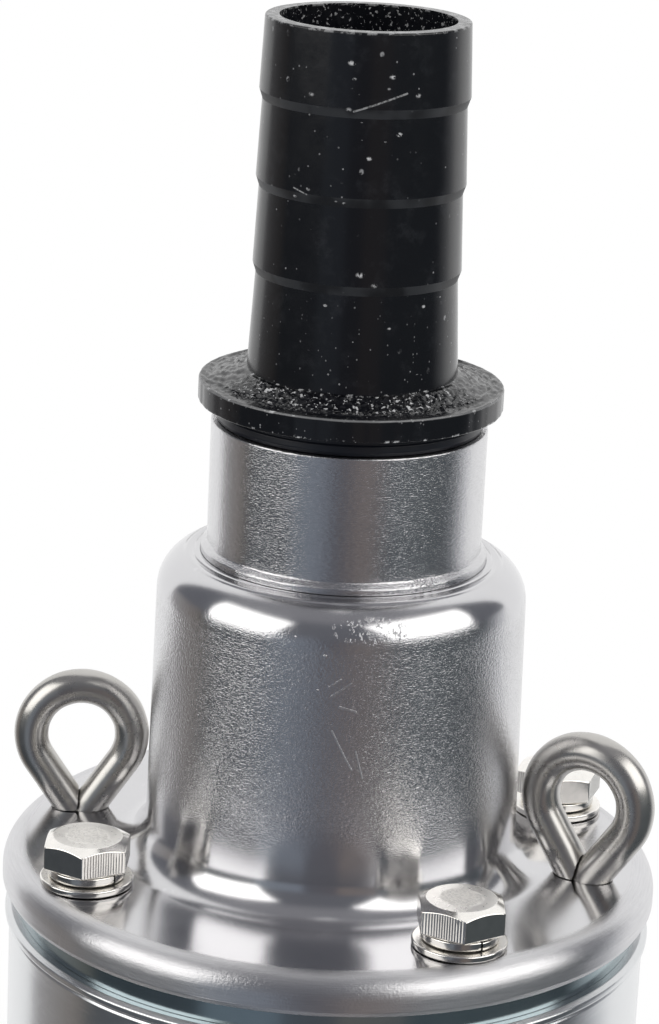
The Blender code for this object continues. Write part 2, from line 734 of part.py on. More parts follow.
def valve_seat(looks):
    top = HEAD_Z + VALVE_SEAT_H
    profile = [(VALVE_BORE_R + VALVE_LIP_H, VALVE_LIP_TOP), (VALVE_LIP_R, VALVE_LIP_TOP),
               (VALVE_LIP_R, top), (VALVE_BODY_R, top), (VALVE_BODY_R, HEAD_Z),
               (VALVE_BORE_R, HEAD_Z), (VALVE_BORE_R, top)]
    return lathe("valve_seat", profile, MEDIUM_FACETS, looks["bronze"])


def valve_poppet(looks):
    edge = POPPET_TOP - POPPET_H
    stem_top = POPPET_TOP + STEM_LENGTH
    nose_r = VALVE_BORE_R - 2 * SEAT
    profile = [(0.0, stem_top), (STEM_R, stem_top), (STEM_R, POPPET_TOP),
               (POPPET_R, POPPET_TOP), (POPPET_R, edge), (VALVE_BORE_R + VALVE_LIP_H - SEAT, edge),
               (nose_r, edge - VALVE_LIP_H), (0.0, edge - VALVE_LIP_H)]
    return lathe("valve_poppet", profile, MEDIUM_FACETS, looks["bronze"])


def valve_cage(looks):
    ring_top = CAGE_BOTTOM + CAGE_RING_H
    inner = VALVE_BODY_R - CAGE_RING_W
    profile = [(inner, ring_top), (VALVE_BODY_R, ring_top), (VALVE_BODY_R, CAGE_BOTTOM),
               (inner, CAGE_BOTTOM)]
    cage = lathe("valve_cage", profile, MEDIUM_FACETS, looks["cast"])
    bore = (STEM_R + SEAT) / math.cos(math.pi / SMALL_FACETS)
    hub_bottom = CAGE_TOP - CAGE_HUB_H
    hub = [(bore, CAGE_TOP), (CAGE_HUB_R, CAGE_TOP), (CAGE_HUB_R, hub_bottom), (bore, hub_bottom)]
    posts = [radial_bar(inner + SEAT, VALVE_BODY_R - SEAT, CAGE_LEG_W, angle)
             for angle in spaced(CAGE_LEG_COUNT)]
    arms = [radial_bar((CAGE_HUB_R + bore) / 2, VALVE_BODY_R - SEAT * 2, CAGE_LEG_W - SEAT, angle)
            for angle in spaced(CAGE_LEG_COUNT)]
    posts = prisms("posts", posts, CAGE_BOTTOM + SUNK, CAGE_TOP - SUNK, looks["cast"])
    arms = prisms("arms", arms, hub_bottom + SUNK, CAGE_TOP - 2 * SUNK, looks["cast"])
    join(cage, posts)
    join(cage, lathe("hub", hub, SMALL_FACETS, looks["cast"]))
    return join(cage, arms)


def valve_spring(looks):
    bottom = POPPET_TOP + SEAT + SPRING_WIRE_R
    top = CAGE_TOP - CAGE_HUB_H - SEAT - SPRING_WIRE_R
    path = []
    for index in range(SPRING_STEP_COUNT + 1):
        share = index / SPRING_STEP_COUNT
        x, y = polar(SPRING_R, 360.0 * SPRING_TURN_COUNT * share)
        path.append((x, y, bottom + (top - bottom) * share))
    return rod("valve_spring", path, SPRING_WIRE_R, SPRING_SIDE_COUNT, looks["brushed"])


# Top bearing housing: a thick ring that takes the head bolts, and a spider
# that carries the bush of the pump shaft.

def top_bearing_housing(looks):
    lip_bottom = HOUSING_TOP - HOUSING_LIP_H
    profile = [(HOUSING_OPENING_R, HOUSING_TOP), (BAND_R, HOUSING_TOP), (BAND_R, BAND_BOTTOM),
               (BOWL_R, BAND_BOTTOM), (BOWL_R, HOUSING_BOTTOM), (HOUSING_BORE_R, HOUSING_BOTTOM),
               (HOUSING_BORE_R, lip_bottom), (HOUSING_OPENING_R, lip_bottom)]
    housing = lathe("top_bearing_housing", profile, LARGE_FACETS, looks["cast"])
    bore = HOUSING_HUB_BORE_R
    hub = [(bore, HOUSING_HUB_TOP), (HOUSING_HUB_R, HOUSING_HUB_TOP),
           (HOUSING_HUB_R, HOUSING_HUB_BOTTOM), (bore, HOUSING_HUB_BOTTOM)]
    arms = [radial_bar((bore + HOUSING_HUB_R) / 2, HOUSING_BORE_R + 2 * SUNK, HOUSING_ARM_W, angle)
            for angle in spaced(HOUSING_ARM_COUNT)]
    join(housing, prisms("arms", arms, HOUSING_HUB_BOTTOM + SUNK, HOUSING_HUB_TOP - SUNK,
                         looks["cast"]))
    join(housing, lathe("hub", hub, SMALL_FACETS, looks["cast"]))
    return cut(housing, head_holes(looks, HOUSING_TOP - TAPPED_DEPTH, HOUSING_TOP + PAST))


def top_bearing_bush(looks):
    inner = JOURNAL_R + RUNNING
    outer = inner + BUSH_WALL
    profile = [(inner, HOUSING_HUB_TOP), (outer, HOUSING_HUB_TOP), (outer, HOUSING_HUB_BOTTOM),
               (inner, HOUSING_HUB_BOTTOM)]
    return lathe("top_bearing_bush", profile, SMALL_FACETS, looks["bronze"])


# Pump barrel with a rolled bead at its upper edge

def pump_barrel(looks):
    profile = [(BARREL_BORE_R, BARREL_TOP), (BARREL_R, BARREL_TOP),
               (BEAD_R, BARREL_TOP - BEAD_SLOPE), (BEAD_R, BARREL_TOP - BEAD_H + BEAD_SLOPE),
               (BARREL_R, BARREL_TOP - BEAD_H), (BARREL_R, BARREL_BOTTOM),
               (BARREL_BORE_R, BARREL_BOTTOM)]
    return lathe("pump_barrel", profile, LARGE_FACETS, looks["brushed"])


# Stages

# Curved blades: each follows a spiral from one radius to another while its
# lower and upper edges follow the shrouds.
def blades(name, count, radii, sweep_deg, thickness, low_of, high_of, material):
    mesh = bmesh.new()
    for first in spaced(count):
        centres = []
        for index in range(VANE_STATION_COUNT):
            share = index / (VANE_STATION_COUNT - 1)
            radius = radii[0] + (radii[1] - radii[0]) * share
            centres.append((radius, Vector(polar(radius, first + sweep_deg * share))))
        rings = []
        for index, (radius, centre) in enumerate(centres):
            before = centres[max(index - 1, 0)][1]
            after = centres[min(index + 1, VANE_STATION_COUNT - 1)][1]
            along = (after - before).normalized()
            side = Vector((-along.y, along.x)) * thickness / 2
            low, high = low_of(radius), high_of(radius)
            rings.append([(*(centre - side), low), (*(centre + side), low),
                          (*(centre + side), high), (*(centre - side), high)])
        add_loft(mesh, rings)
    return to_object(name, mesh, material)


# Closed impeller: hub and back shroud above, eye skirt and front shroud below,
# with backward-curved vanes between them.
def impeller(looks):
    def floor(radius):
        share = (radius - EYE_R) / (IMPELLER_R - EYE_R)
        return EYE_FLOOR_H + (OUTER_FLOOR_H - EYE_FLOOR_H) * max(share, 0.0)

    def roof(radius):
        share = (radius - IMPELLER_HUB_R) / (IMPELLER_R - IMPELLER_HUB_R)
        return HUB_ROOF_H + (OUTER_FLOOR_H + OUTLET_W - HUB_ROOF_H) * share

    bore = PUMP_SHAFT_R + SEAT
    hub_high = HUB_LOW_H + STAGE_PITCH - SEAT
    back = [(bore, hub_high), (IMPELLER_HUB_R, hub_high), (IMPELLER_HUB_R, HUB_ROOF_H + SHROUD_T),
            (IMPELLER_R, roof(IMPELLER_R) + SHROUD_T), (IMPELLER_R, roof(IMPELLER_R)),
            (IMPELLER_HUB_R, HUB_ROOF_H), (IMPELLER_HUB_R - HUB_TAPER, HUB_LOW_H),
            (bore, HUB_LOW_H)]
    front = [(EYE_R, floor(EYE_R)), (IMPELLER_R, floor(IMPELLER_R)),
             (IMPELLER_R, floor(IMPELLER_R) - SHROUD_T), (SKIRT_R, floor(EYE_R) - SHROUD_T),
             (SKIRT_R, 0.0), (EYE_R, 0.0)]
    piece = lathe("impeller_1", back, WHEEL_FACETS, looks["plastic"])
    sunk = SHROUD_T / 3
    vanes = blades("vanes", IMPELLER_VANE_COUNT, (EYE_R - VANE_LEAD, IMPELLER_R - VANE_INSET),
                   VANE_SWEEP_DEG, VANE_T, lambda radius: floor(radius) - sunk,
                   lambda radius: roof(radius) + sunk, looks["plastic"])
    join(piece, vanes)
    return join(piece, lathe("front", front, WHEEL_FACETS, looks["plastic"]))


# Diffuser bowl: floor and wall round the impeller, a separator plate above it
# and curved guide vanes that lead the water back to the next eye.
def diffuser(looks):
    top = STAGE_PITCH - SEAT
    inner = BOWL_R - BOWL_WALL
    ring = SKIRT_R + RUNNING * 2
    bowl = [(inner, top), (BOWL_R, top), (BOWL_R, 0.0), (ring, 0.0), (ring, BOWL_FLOOR),
            (inner, BOWL_FLOOR)]
    bore = IMPELLER_HUB_R + RUNNING * 2
    plate_top = SEPARATOR_UP + SEPARATOR_H
    plate = [(bore, plate_top), (SEPARATOR_R, plate_top), (SEPARATOR_R, SEPARATOR_UP),
             (bore, SEPARATOR_UP)]
    piece = lathe("diffuser_1", bowl, MEDIUM_FACETS, looks["plastic"])
    vanes = blades("guides", GUIDE_VANE_COUNT, (bore + GUIDE_START, BOWL_R - BOWL_WALL / 3),
                   GUIDE_SWEEP_DEG, GUIDE_VANE_T, lambda radius: SEPARATOR_UP + SEPARATOR_H / 2,
                   lambda radius: top - GUIDE_ROOM, looks["plastic"])
    vanes = join(lathe("plate", plate, MEDIUM_FACETS, looks["plastic"]), vanes)
    return join(piece, vanes)


def stages(looks):
    bowl = diffuser(looks)
    wheel = impeller(looks)
    for number in range(1, STAGE_COUNT + 1):
        if number > 1:
            bowl = copy_of(bowl, f"diffuser_{number}")
            wheel = copy_of(wheel, f"impeller_{number}")
        base = STAGE_BOTTOM + STAGE_PITCH * (number - 1)
        place(bowl, 0, 0, base)
        place(wheel, 0, 0, base + IMPELLER_UP)


def impeller_nut(looks):
    corner = NUT_ACROSS_FLATS / math.sqrt(3)
    outline = circle((0, 0), corner, 6)
    top = NUT_BOTTOM + NUT_H
    nut = prisms("impeller_nut", [outline], NUT_BOTTOM, top, looks["brushed"])
    hole = prisms("hole", [circle((0, 0), PUMP_SHAFT_R + 2 * SEAT)], NUT_BOTTOM - PAST,
                  top + PAST, looks["brushed"])
    return cut(nut, hole)


def pump_shaft(looks):
    journal = HOUSING_HUB_BOTTOM - JOURNAL_SPARE
    top = HOUSING_HUB_TOP - RUNNING
    bottom = SHAFT_JOINT_Z + SEAT / 2
    profile = [(0.0, top), (JOURNAL_R, top), (JOURNAL_R, journal), (PUMP_SHAFT_R, journal),
               (PUMP_SHAFT_R, bottom), (0.0, bottom)]
    return lathe("pump_shaft", profile, SMALL_FACETS, looks["brushed"])


# Suction bracket

def suction_bracket(looks):
    roof = SUCTION_TOP - SUCTION_ROOF
    floor = LIP_BOTTOM + CHAMBER_FLOOR
    pocket = FOOT_BOTTOM + SLINGER_POCKET_H
    profile = [(SKIRT_R + RUNNING, SUCTION_TOP), (BOWL_R, SUCTION_TOP), (BOWL_R, SHOULDER_TOP),
               (BARREL_R, SHOULDER_TOP), (BARREL_R, SHOULDER_BOTTOM),
               (STRAINER_SEAT_R, SHOULDER_BOTTOM), (STRAINER_SEAT_R, LIP_TOP), (LIP_R, LIP_TOP),
               (LIP_R, LIP_BOTTOM), (WAIST_R, LIP_BOTTOM - LIP_SLOPE_H), (WAIST_R, FOOT_TOP),
               (FOOT_R, FOOT_TOP), (FOOT_R, FOOT_BOTTOM), (SLINGER_POCKET_R, FOOT_BOTTOM),
               (SLINGER_POCKET_R, pocket), (SUCTION_BORE_R, pocket), (SUCTION_BORE_R, floor),
               (CHAMBER_R, floor), (CHAMBER_R, roof), (SKIRT_R + RUNNING, roof)]
    bracket = lathe("suction_bracket", profile, LARGE_FACETS, looks["cast"])
    windows = []
    inner = CHAMBER_R - 2 * PAST
    outer = (STRAINER_SEAT_R + PAST) / math.cos(math.radians(WINDOW_DEG / 2))
    for angle in spaced(WINDOW_COUNT):
        corners = [(inner, -WINDOW_DEG / 2), (outer, -WINDOW_DEG / 2),
                   (outer, WINDOW_DEG / 2), (inner, WINDOW_DEG / 2)]
        windows.append([polar(radius, angle + turn) for radius, turn in corners])
    cut(bracket, prisms("windows", windows, LIP_TOP + WINDOW_MARGIN,
                        SHOULDER_BOTTOM - WINDOW_MARGIN, looks["cast"]))
    holes = [circle(polar(BRACKET_BOLT_CIRCLE_R, angle), BOLT_HOLE_R)
             for angle in spaced(BOLT_COUNT, BRACKET_FIRST_DEG)]
    holes.append(gland_notch())
    return cut(bracket, prisms("holes", holes, FOOT_BOTTOM - PAST, FOOT_TOP + PAST, looks["cast"]))


# The foot is notched round the gland so that the cable can pass down to it.
def gland_notch():
    half = GLAND_ACROSS_FLATS / math.sqrt(3) + GLAND_ROOM
    return radial_bar(GLAND_AT_R - half, FOOT_R + PAST, 2 * half, GLAND_DEG)


# Sheet strainer: two plain bands with upright bars between them.
def suction_strainer(looks):
    inner = (STRAINER_SEAT_R + SEAT) / math.cos(math.pi / (2 * STRAINER_SLOT_COUNT))
    outer = inner + STRAINER_WALL
    low, high = LIP_TOP + SEAT, SHOULDER_BOTTOM - SEAT
    levels = (low, low + STRAINER_END, high - STRAINER_END, high)
    mesh = bmesh.new()
    columns = []
    for angle in spaced(STRAINER_SLOT_COUNT):
        for shift in (0.0, 360.0 / STRAINER_SLOT_COUNT * STRAINER_SLOT_SHARE):
            column = [[mesh.verts.new(Vector((*polar(radius, angle + shift), level)) * MM)
                       for level in levels] for radius in (inner, outer)]
            columns.append(column)
    for index, (inside, outside) in enumerate(columns):
        next_in, next_out = columns[(index + 1) % len(columns)]
        is_slot = index % 2 == 0
        for level in range(3):
            if level == 1 and is_slot:
                continue
            mesh.faces.new((outside[level], next_out[level], next_out[level + 1], outside[level + 1]))
            mesh.faces.new((inside[level + 1], next_in[level + 1], next_in[level], inside[level]))
        for level in (0, 3) if not is_slot else (0, 1, 2, 3):
            mesh.faces.new((inside[level], next_in[level], next_out[level], outside[level]))
        mesh.faces.new((inside[1], outside[1], outside[2], inside[2]))
    return to_object("suction_strainer", mesh, looks["brushed"])


def shaft_coupling(looks):
    bore = PUMP_SHAFT_R + SEAT
    bottom = SHAFT_JOINT_Z - COUPLING_LENGTH / 2
    top = SHAFT_JOINT_Z + COUPLING_LENGTH / 2
    edge = COUPLING_R - COUPLING_BEVEL
    profile = [(bore, top), (edge, top), (COUPLING_R, top - COUPLING_BEVEL),
               (COUPLING_R, bottom + COUPLING_BEVEL), (edge, bottom), (bore, bottom)]
    return lathe("shaft_coupling", profile, SMALL_FACETS, looks["brushed"])


def bracket_bolts(looks):
    screw = hex_screw("bracket_bolt_1", BOLT_ACROSS_FLATS, BOLT_HEAD_H, BOLT_R,
                      BRACKET_BOLT_LENGTH, looks["polished"])
    for number, angle in enumerate(spaced(BOLT_COUNT, BRACKET_FIRST_DEG), start=1):
        if number > 1:
            screw = copy_of(screw, f"bracket_bolt_{number}")
        x, y = polar(BRACKET_BOLT_CIRCLE_R, angle)
        place(screw, x, y, FOOT_TOP + SEAT, angle)


def cable_gland(looks):
    x, y = polar(GLAND_AT_R, GLAND_DEG)
    corner = GLAND_ACROSS_FLATS / math.sqrt(3)
    bottom = MOTOR_TOP + SEAT
    gland = prisms("cable_gland", [circle((x, y), corner, 6)], bottom, bottom + GLAND_HEX_H,
                   looks["polished"])
    collar = prisms("collar", [circle((x, y), corner - GLAND_COLLAR_INSET)], bottom + SUNK,
                    bottom + GLAND_H, looks["polished"])
    spigot = prisms("spigot", [circle((x, y), GLAND_SPIGOT_R)], bottom - GLAND_SPIGOT_H,
                    bottom + SUNK, looks["polished"])
    bore = prisms("bore", [circle((x, y), GLAND_BORE_R)], bottom - GLAND_BORE_DEPTH,
                  bottom + GLAND_H + PAST, looks["polished"])
    join(gland, collar)
    join(gland, spigot)
    return cut(gland, bore)


# Motor

def motor_upper_bracket(looks):
    pocket = MOTOR_TOP - SEAL_POCKET_H
    register = MOTOR_REGISTER_BOTTOM
    bearing_top = register + BEARING_H + SEAT
    throat = MOTOR_SHAFT_R + SHAFT_THROAT
    profile = [(SEAL_POCKET_R, MOTOR_TOP), (FOOT_R, MOTOR_TOP), (FOOT_R, MOTOR_FLANGE_BOTTOM),
               (MOTOR_FIT_R, MOTOR_FLANGE_BOTTOM), (MOTOR_FIT_R, register), (BEARING_SEAT_R, register),
               (BEARING_SEAT_R, bearing_top), (throat, bearing_top), (throat, pocket),
               (SEAL_POCKET_R, pocket)]
    bracket = lathe("motor_upper_bracket", profile, LARGE_FACETS, looks["cast"])
    holes = [circle(polar(BRACKET_BOLT_CIRCLE_R, angle), BOLT_HOLE_R)
             for angle in spaced(BOLT_COUNT, BRACKET_FIRST_DEG)]
    holes.append(circle(polar(GLAND_AT_R, GLAND_DEG), GLAND_SPIGOT_R + SEAT))
    hole_depth = BRACKET_BOLT_LENGTH - FOOT_H + TAP_RUNOUT
    cut(bracket, prisms("holes", holes, MOTOR_TOP - hole_depth, MOTOR_TOP + PAST, looks["cast"]))
    plug_hole = radial_cylinder("plug_hole", PLUG_R + SEAT, PLUG_DEG, FOOT_R - PLUG_LENGTH - PAST,
                                FOOT_R + 2 * PAST, PLUG_Z, looks["cast"])
    return cut(bracket, plug_hole)


# A turned piece laid along one radius, from profile points of (radius, reach).
def radial_turned(name, profile, facets, degrees, height, material):
    piece = lathe(name, profile, facets, material)
    for vertex in piece.data.vertices:
        across, up, along = vertex.co.x, vertex.co.y, vertex.co.z
        x, y = polar(1.0, degrees)
        vertex.co = (along * x - across * y, along * y + across * x, up + height * MM)
    return flip_out(piece)


def flip_out(piece):
    mesh = bmesh.new()
    mesh.from_mesh(piece.data)
    bmesh.ops.recalc_face_normals(mesh, faces=mesh.faces[:])
    mesh.to_mesh(piece.data)
    mesh.free()
    shade(piece.data)
    return piece


def radial_cylinder(name, radius, degrees, inner, outer, height, material):
    profile = [(0.0, outer), (radius, outer), (radius, inner), (0.0, inner)]
    return radial_turned(name, profile, SCREW_FACETS, degrees, height, material)


def radial_screw(name, degrees, surface_r, height, shank_r, head_r, head_h, length, material):
    seat = surface_r + SEAT
    profile = [(0.0, seat + head_h), (head_r - head_h / 2, seat + head_h),
               (head_r, seat + head_h / 2), (head_r, seat), (shank_r, seat),
               (shank_r, seat - length), (0.0, seat - length)]
    return radial_turned(name, profile, SCREW_FACETS, degrees, height, material)


def fill_plug(looks):
    return radial_screw("fill_plug", PLUG_DEG, FOOT_R, PLUG_Z, PLUG_R, PLUG_HEAD_R, PLUG_HEAD_H,
                        PLUG_LENGTH, looks["polished"])


def sand_slinger(looks):
    bore = MOTOR_SHAFT_R + SEAT
    bottom = MOTOR_TOP + SLINGER_UP
    top = bottom + SLINGER_H
    profile = [(bore, top), (bore + SLINGER_NECK_W, top), (SLINGER_R, bottom + SLINGER_LIP_H),
               (SLINGER_R, bottom), (bore, bottom)]
    return lathe("sand_slinger", profile, SMALL_FACETS, looks["rubber"])


def seal_seat(looks):
    bottom = MOTOR_TOP - SEAL_POCKET_H + SEAT
    outer = SEAL_POCKET_R * math.cos(math.pi / LARGE_FACETS) - SEAT
    inner = MOTOR_SHAFT_R + SEAL_SEAT_ROOM
    top = bottom + SEAL_SEAT_H
    profile = [(inner, top), (outer, top), (outer, bottom), (inner, bottom)]
    return lathe("seal_seat", profile, SMALL_FACETS, looks["ceramic"])


def seal_rotor(looks):
    bottom = MOTOR_TOP - SEAL_POCKET_H + 2 * SEAT + SEAL_SEAT_H
    bore = MOTOR_SHAFT_R + SEAT
    top = bottom + SEAL_ROTOR_H
    profile = [(bore, top), (SEAL_ROTOR_R - SEAL_ROTOR_TAPER, top),
               (SEAL_ROTOR_R, bottom + SEAL_ROTOR_LIP_H), (SEAL_ROTOR_R, bottom), (bore, bottom)]
    return lathe("seal_rotor", profile, SMALL_FACETS, looks["rubber"])


def motor_shell(looks):
    profile = [(SHELL_BORE_R, SHELL_TOP), (SHELL_R, SHELL_TOP), (SHELL_R, SHELL_BOTTOM),
               (SHELL_BORE_R, SHELL_BOTTOM)]
    shell = lathe("motor_shell", profile, LARGE_FACETS, looks["brushed"])
    for angle in spaced(BASE_SCREW_COUNT, BASE_SCREW_FIRST_DEG):
        cut(shell, radial_cylinder("hole", BASE_SCREW_R + SEAT, angle, SHELL_BORE_R - 3 * PAST,
                                   SHELL_R + 2 * PAST, BASE_SCREW_Z, looks["brushed"]))
    return shell


def stator_core(looks):
    profile = [(STATOR_BORE_R, STATOR_TOP), (MOTOR_FIT_R, STATOR_TOP),
               (MOTOR_FIT_R, STATOR_BOTTOM), (STATOR_BORE_R, STATOR_BOTTOM)]
    return lathe("stator_core", profile, MEDIUM_FACETS, looks["core"])


# End turns of the winding: flat against the core, crowned on the other side.
def winding(name, flat, crown, looks):
    edge = crown + (flat - crown) * WINDING_ROUND_H / WINDING_H
    middle = (WINDING_R + WINDING_BORE_R) / 2
    profile = [(middle, crown), (WINDING_R, edge), (WINDING_R, flat), (WINDING_BORE_R, flat),
               (WINDING_BORE_R, edge)]
    return lathe(name, profile, MEDIUM_FACETS, looks["copper"])


def windings(looks):
    winding("winding_upper", UPPER_WINDING_BOTTOM, UPPER_WINDING_BOTTOM + WINDING_H, looks)
    winding("winding_lower", LOWER_WINDING_BOTTOM + WINDING_H, LOWER_WINDING_BOTTOM, looks)


def rotor_core(looks):
    top = STATOR_TOP - ROTOR_SHORTER
    bottom = STATOR_BOTTOM + ROTOR_SHORTER
    bore = MOTOR_SHAFT_R + SEAT
    profile = [(bore, top), (ROTOR_R, top), (ROTOR_R, bottom), (bore, bottom)]
    return lathe("rotor_core", profile, SMALL_FACETS, looks["core"])


def motor_shaft(looks):
    top = SHAFT_JOINT_Z - SEAT / 2
    step = SHAFT_JOINT_Z - COUPLING_LENGTH / 2 - SHAFT_SHOULDER
    bottom = LOWER_BRACKET_TOP - BEARING_H - SHAFT_SHOULDER
    profile = [(0.0, top), (PUMP_SHAFT_R, top), (PUMP_SHAFT_R, step), (MOTOR_SHAFT_R, step),
               (MOTOR_SHAFT_R, bottom), (0.0, bottom)]
    return lathe("motor_shaft", profile, SMALL_FACETS, looks["brushed"])


def ball_bearing(name, bottom, looks):
    inner = MOTOR_SHAFT_R + BEARING_ROOM
    outer = BEARING_SEAT_R * math.cos(math.pi / LARGE_FACETS) - SEAT
    top = bottom + BEARING_H - SEAT
    profile = [(inner, top), (outer, top), (outer, bottom), (inner, bottom)]
    return lathe(name, profile, SMALL_FACETS, looks["polished"])


def ball_bearings(looks):
    ball_bearing("upper_ball_bearing", MOTOR_REGISTER_BOTTOM, looks)
    ball_bearing("lower_ball_bearing", LOWER_BRACKET_TOP - BEARING_H + SEAT, looks)


def motor_lower_bracket(looks):
    top, bottom = LOWER_BRACKET_TOP, LOWER_BRACKET_BOTTOM
    seat = top - BEARING_H
    well = MOTOR_SHAFT_R + SHAFT_WELL_W
    well_floor = seat - SHAFT_WELL_H
    profile = [(BEARING_SEAT_R, top), (MOTOR_FIT_R, top), (MOTOR_FIT_R, bottom), (0.0, bottom),
               (0.0, well_floor), (well, well_floor), (well, seat), (BEARING_SEAT_R, seat)]
    return lathe("motor_lower_bracket", profile, MEDIUM_FACETS, looks["cast"])


def pressure_diaphragm(looks):
    top = DIAPHRAGM_TOP
    under = top - DIAPHRAGM_T
    wall = DIAPHRAGM_R - DIAPHRAGM_RIM_W
    floor = wall - DIAPHRAGM_SLOPE
    dish = top - DIAPHRAGM_DISH
    thick = DIAPHRAGM_T / 2
    profile = [(0.0, dish), (floor, dish), (wall, top), (DIAPHRAGM_R, top), (DIAPHRAGM_R, under),
               (wall + thick, under), (floor + thick, dish - DIAPHRAGM_T),
               (0.0, dish - DIAPHRAGM_T)]
    return lathe("pressure_diaphragm", profile, MEDIUM_FACETS, looks["rubber"])


def motor_base(looks):
    well = DIAPHRAGM_R - DIAPHRAGM_RIM_W + BASE_WELL_ROOM
    floor = BASE_RECESS_H + BASE_FLOOR_H
    profile = [(well, BASE_TOP), (MOTOR_FIT_R, BASE_TOP), (MOTOR_FIT_R, BASE_FLANGE_H),
               (SHELL_R, BASE_FLANGE_H), (SHELL_R, BASE_BEVEL), (SHELL_R - BASE_BEVEL, 0.0),
               (BASE_RECESS_R, 0.0), (BASE_RECESS_R - BASE_RECESS_SLOPE, BASE_RECESS_H),
               (0.0, BASE_RECESS_H), (0.0, floor), (well, floor)]
    base = lathe("motor_base", profile, LARGE_FACETS, looks["cast"])
    vents = [circle(polar(BASE_VENT_AT_R, angle), BASE_VENT_R, SCREW_FACETS)
             for angle in spaced(BASE_VENT_COUNT, BASE_VENT_FIRST_DEG)]
    cut(base, prisms("vents", vents, BASE_RECESS_H - PAST, floor + PAST, looks["cast"]))
    for angle in spaced(BASE_SCREW_COUNT, BASE_SCREW_FIRST_DEG):
        inner = SHELL_R - BASE_SCREW_LENGTH - PAST
        cut(base, radial_cylinder("hole", BASE_SCREW_R + SEAT, angle, inner, SHELL_R + 2 * PAST,
                                  BASE_SCREW_Z, looks["cast"]))
    return base


def base_screws(looks):
    for number, angle in enumerate(spaced(BASE_SCREW_COUNT, BASE_SCREW_FIRST_DEG), start=1):
        radial_screw(f"base_screw_{number}", angle, SHELL_R, BASE_SCREW_Z, BASE_SCREW_R,
                     BASE_SCREW_HEAD_R, BASE_SCREW_HEAD_H, BASE_SCREW_LENGTH, looks["polished"])


# The whole pump, top to bottom

def build():
    for item in list(bpy.data.objects):
        bpy.data.objects.remove(item)
    looks = make_looks()
    makers = (hose_barb, outlet_gasket, discharge_neck, discharge_head, head_fasteners,
              lifting_eyes, valve_seat, valve_poppet, valve_cage, valve_spring,
              top_bearing_housing, top_bearing_bush, pump_barrel, stages, impeller_nut,
              pump_shaft, suction_bracket, suction_strainer, shaft_coupling, bracket_bolts,
              cable_gland, motor_upper_bracket, fill_plug, sand_slinger, seal_seat, seal_rotor,
              motor_shell, stator_core, windings, rotor_core, motor_shaft, ball_bearings,
              motor_lower_bracket, pressure_diaphragm, motor_base, base_screws)
    for make in makers:
        make(looks)


build()
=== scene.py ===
import json
import math

import bmesh
import bpy
from mathutils import Matrix, Vector, noise


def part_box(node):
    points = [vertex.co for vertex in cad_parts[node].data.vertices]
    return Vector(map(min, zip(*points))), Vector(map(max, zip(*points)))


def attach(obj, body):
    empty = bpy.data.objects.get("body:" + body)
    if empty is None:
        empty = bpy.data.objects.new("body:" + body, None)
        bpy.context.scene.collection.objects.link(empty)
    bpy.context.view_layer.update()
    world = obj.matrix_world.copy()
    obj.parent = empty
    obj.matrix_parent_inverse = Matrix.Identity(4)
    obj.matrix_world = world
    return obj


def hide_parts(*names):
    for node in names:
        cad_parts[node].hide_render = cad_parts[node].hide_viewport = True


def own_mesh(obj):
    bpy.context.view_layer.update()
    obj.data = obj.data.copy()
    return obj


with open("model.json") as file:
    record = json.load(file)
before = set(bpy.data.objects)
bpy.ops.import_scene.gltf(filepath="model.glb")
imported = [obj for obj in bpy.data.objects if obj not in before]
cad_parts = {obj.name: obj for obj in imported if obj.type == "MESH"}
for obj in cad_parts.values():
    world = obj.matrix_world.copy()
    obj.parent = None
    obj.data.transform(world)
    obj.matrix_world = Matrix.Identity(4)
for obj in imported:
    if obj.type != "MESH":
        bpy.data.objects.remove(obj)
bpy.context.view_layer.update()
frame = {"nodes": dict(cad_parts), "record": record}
mm = 0.001
tau = math.tau


# Heights and sizes taken from the frame, in millimetres
def top(node):
    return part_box(node)[1].z / mm


def bottom(node):
    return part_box(node)[0].z / mm


def halfWidth(node):
    low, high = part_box(node)
    return (high.x - low.x) / 2 / mm


def span(node):
    return bottom(node), top(node), halfWidth(node)


def middle(node):
    low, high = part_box(node)
    return (low + high) / 2 / mm


def numbered(name, count):
    return [f"{name}_{number}" for number in range(1, count + 1)]


# Degrees round the axis
def bearing(node):
    spot = middle(node)
    return math.degrees(math.atan2(spot.y, spot.x))


def linked(name, data):
    made = bpy.data.objects.new(name, data)
    bpy.context.scene.collection.objects.link(made)
    return made


# Shapes: each is a list of points in millimetres and a list of faces

def outward(angle):
    return Vector((math.cos(angle), math.sin(angle), 0.0))


def direction(degrees):
    return outward(math.radians(degrees))


def upright(height):
    return Vector((0.0, 0.0, height))


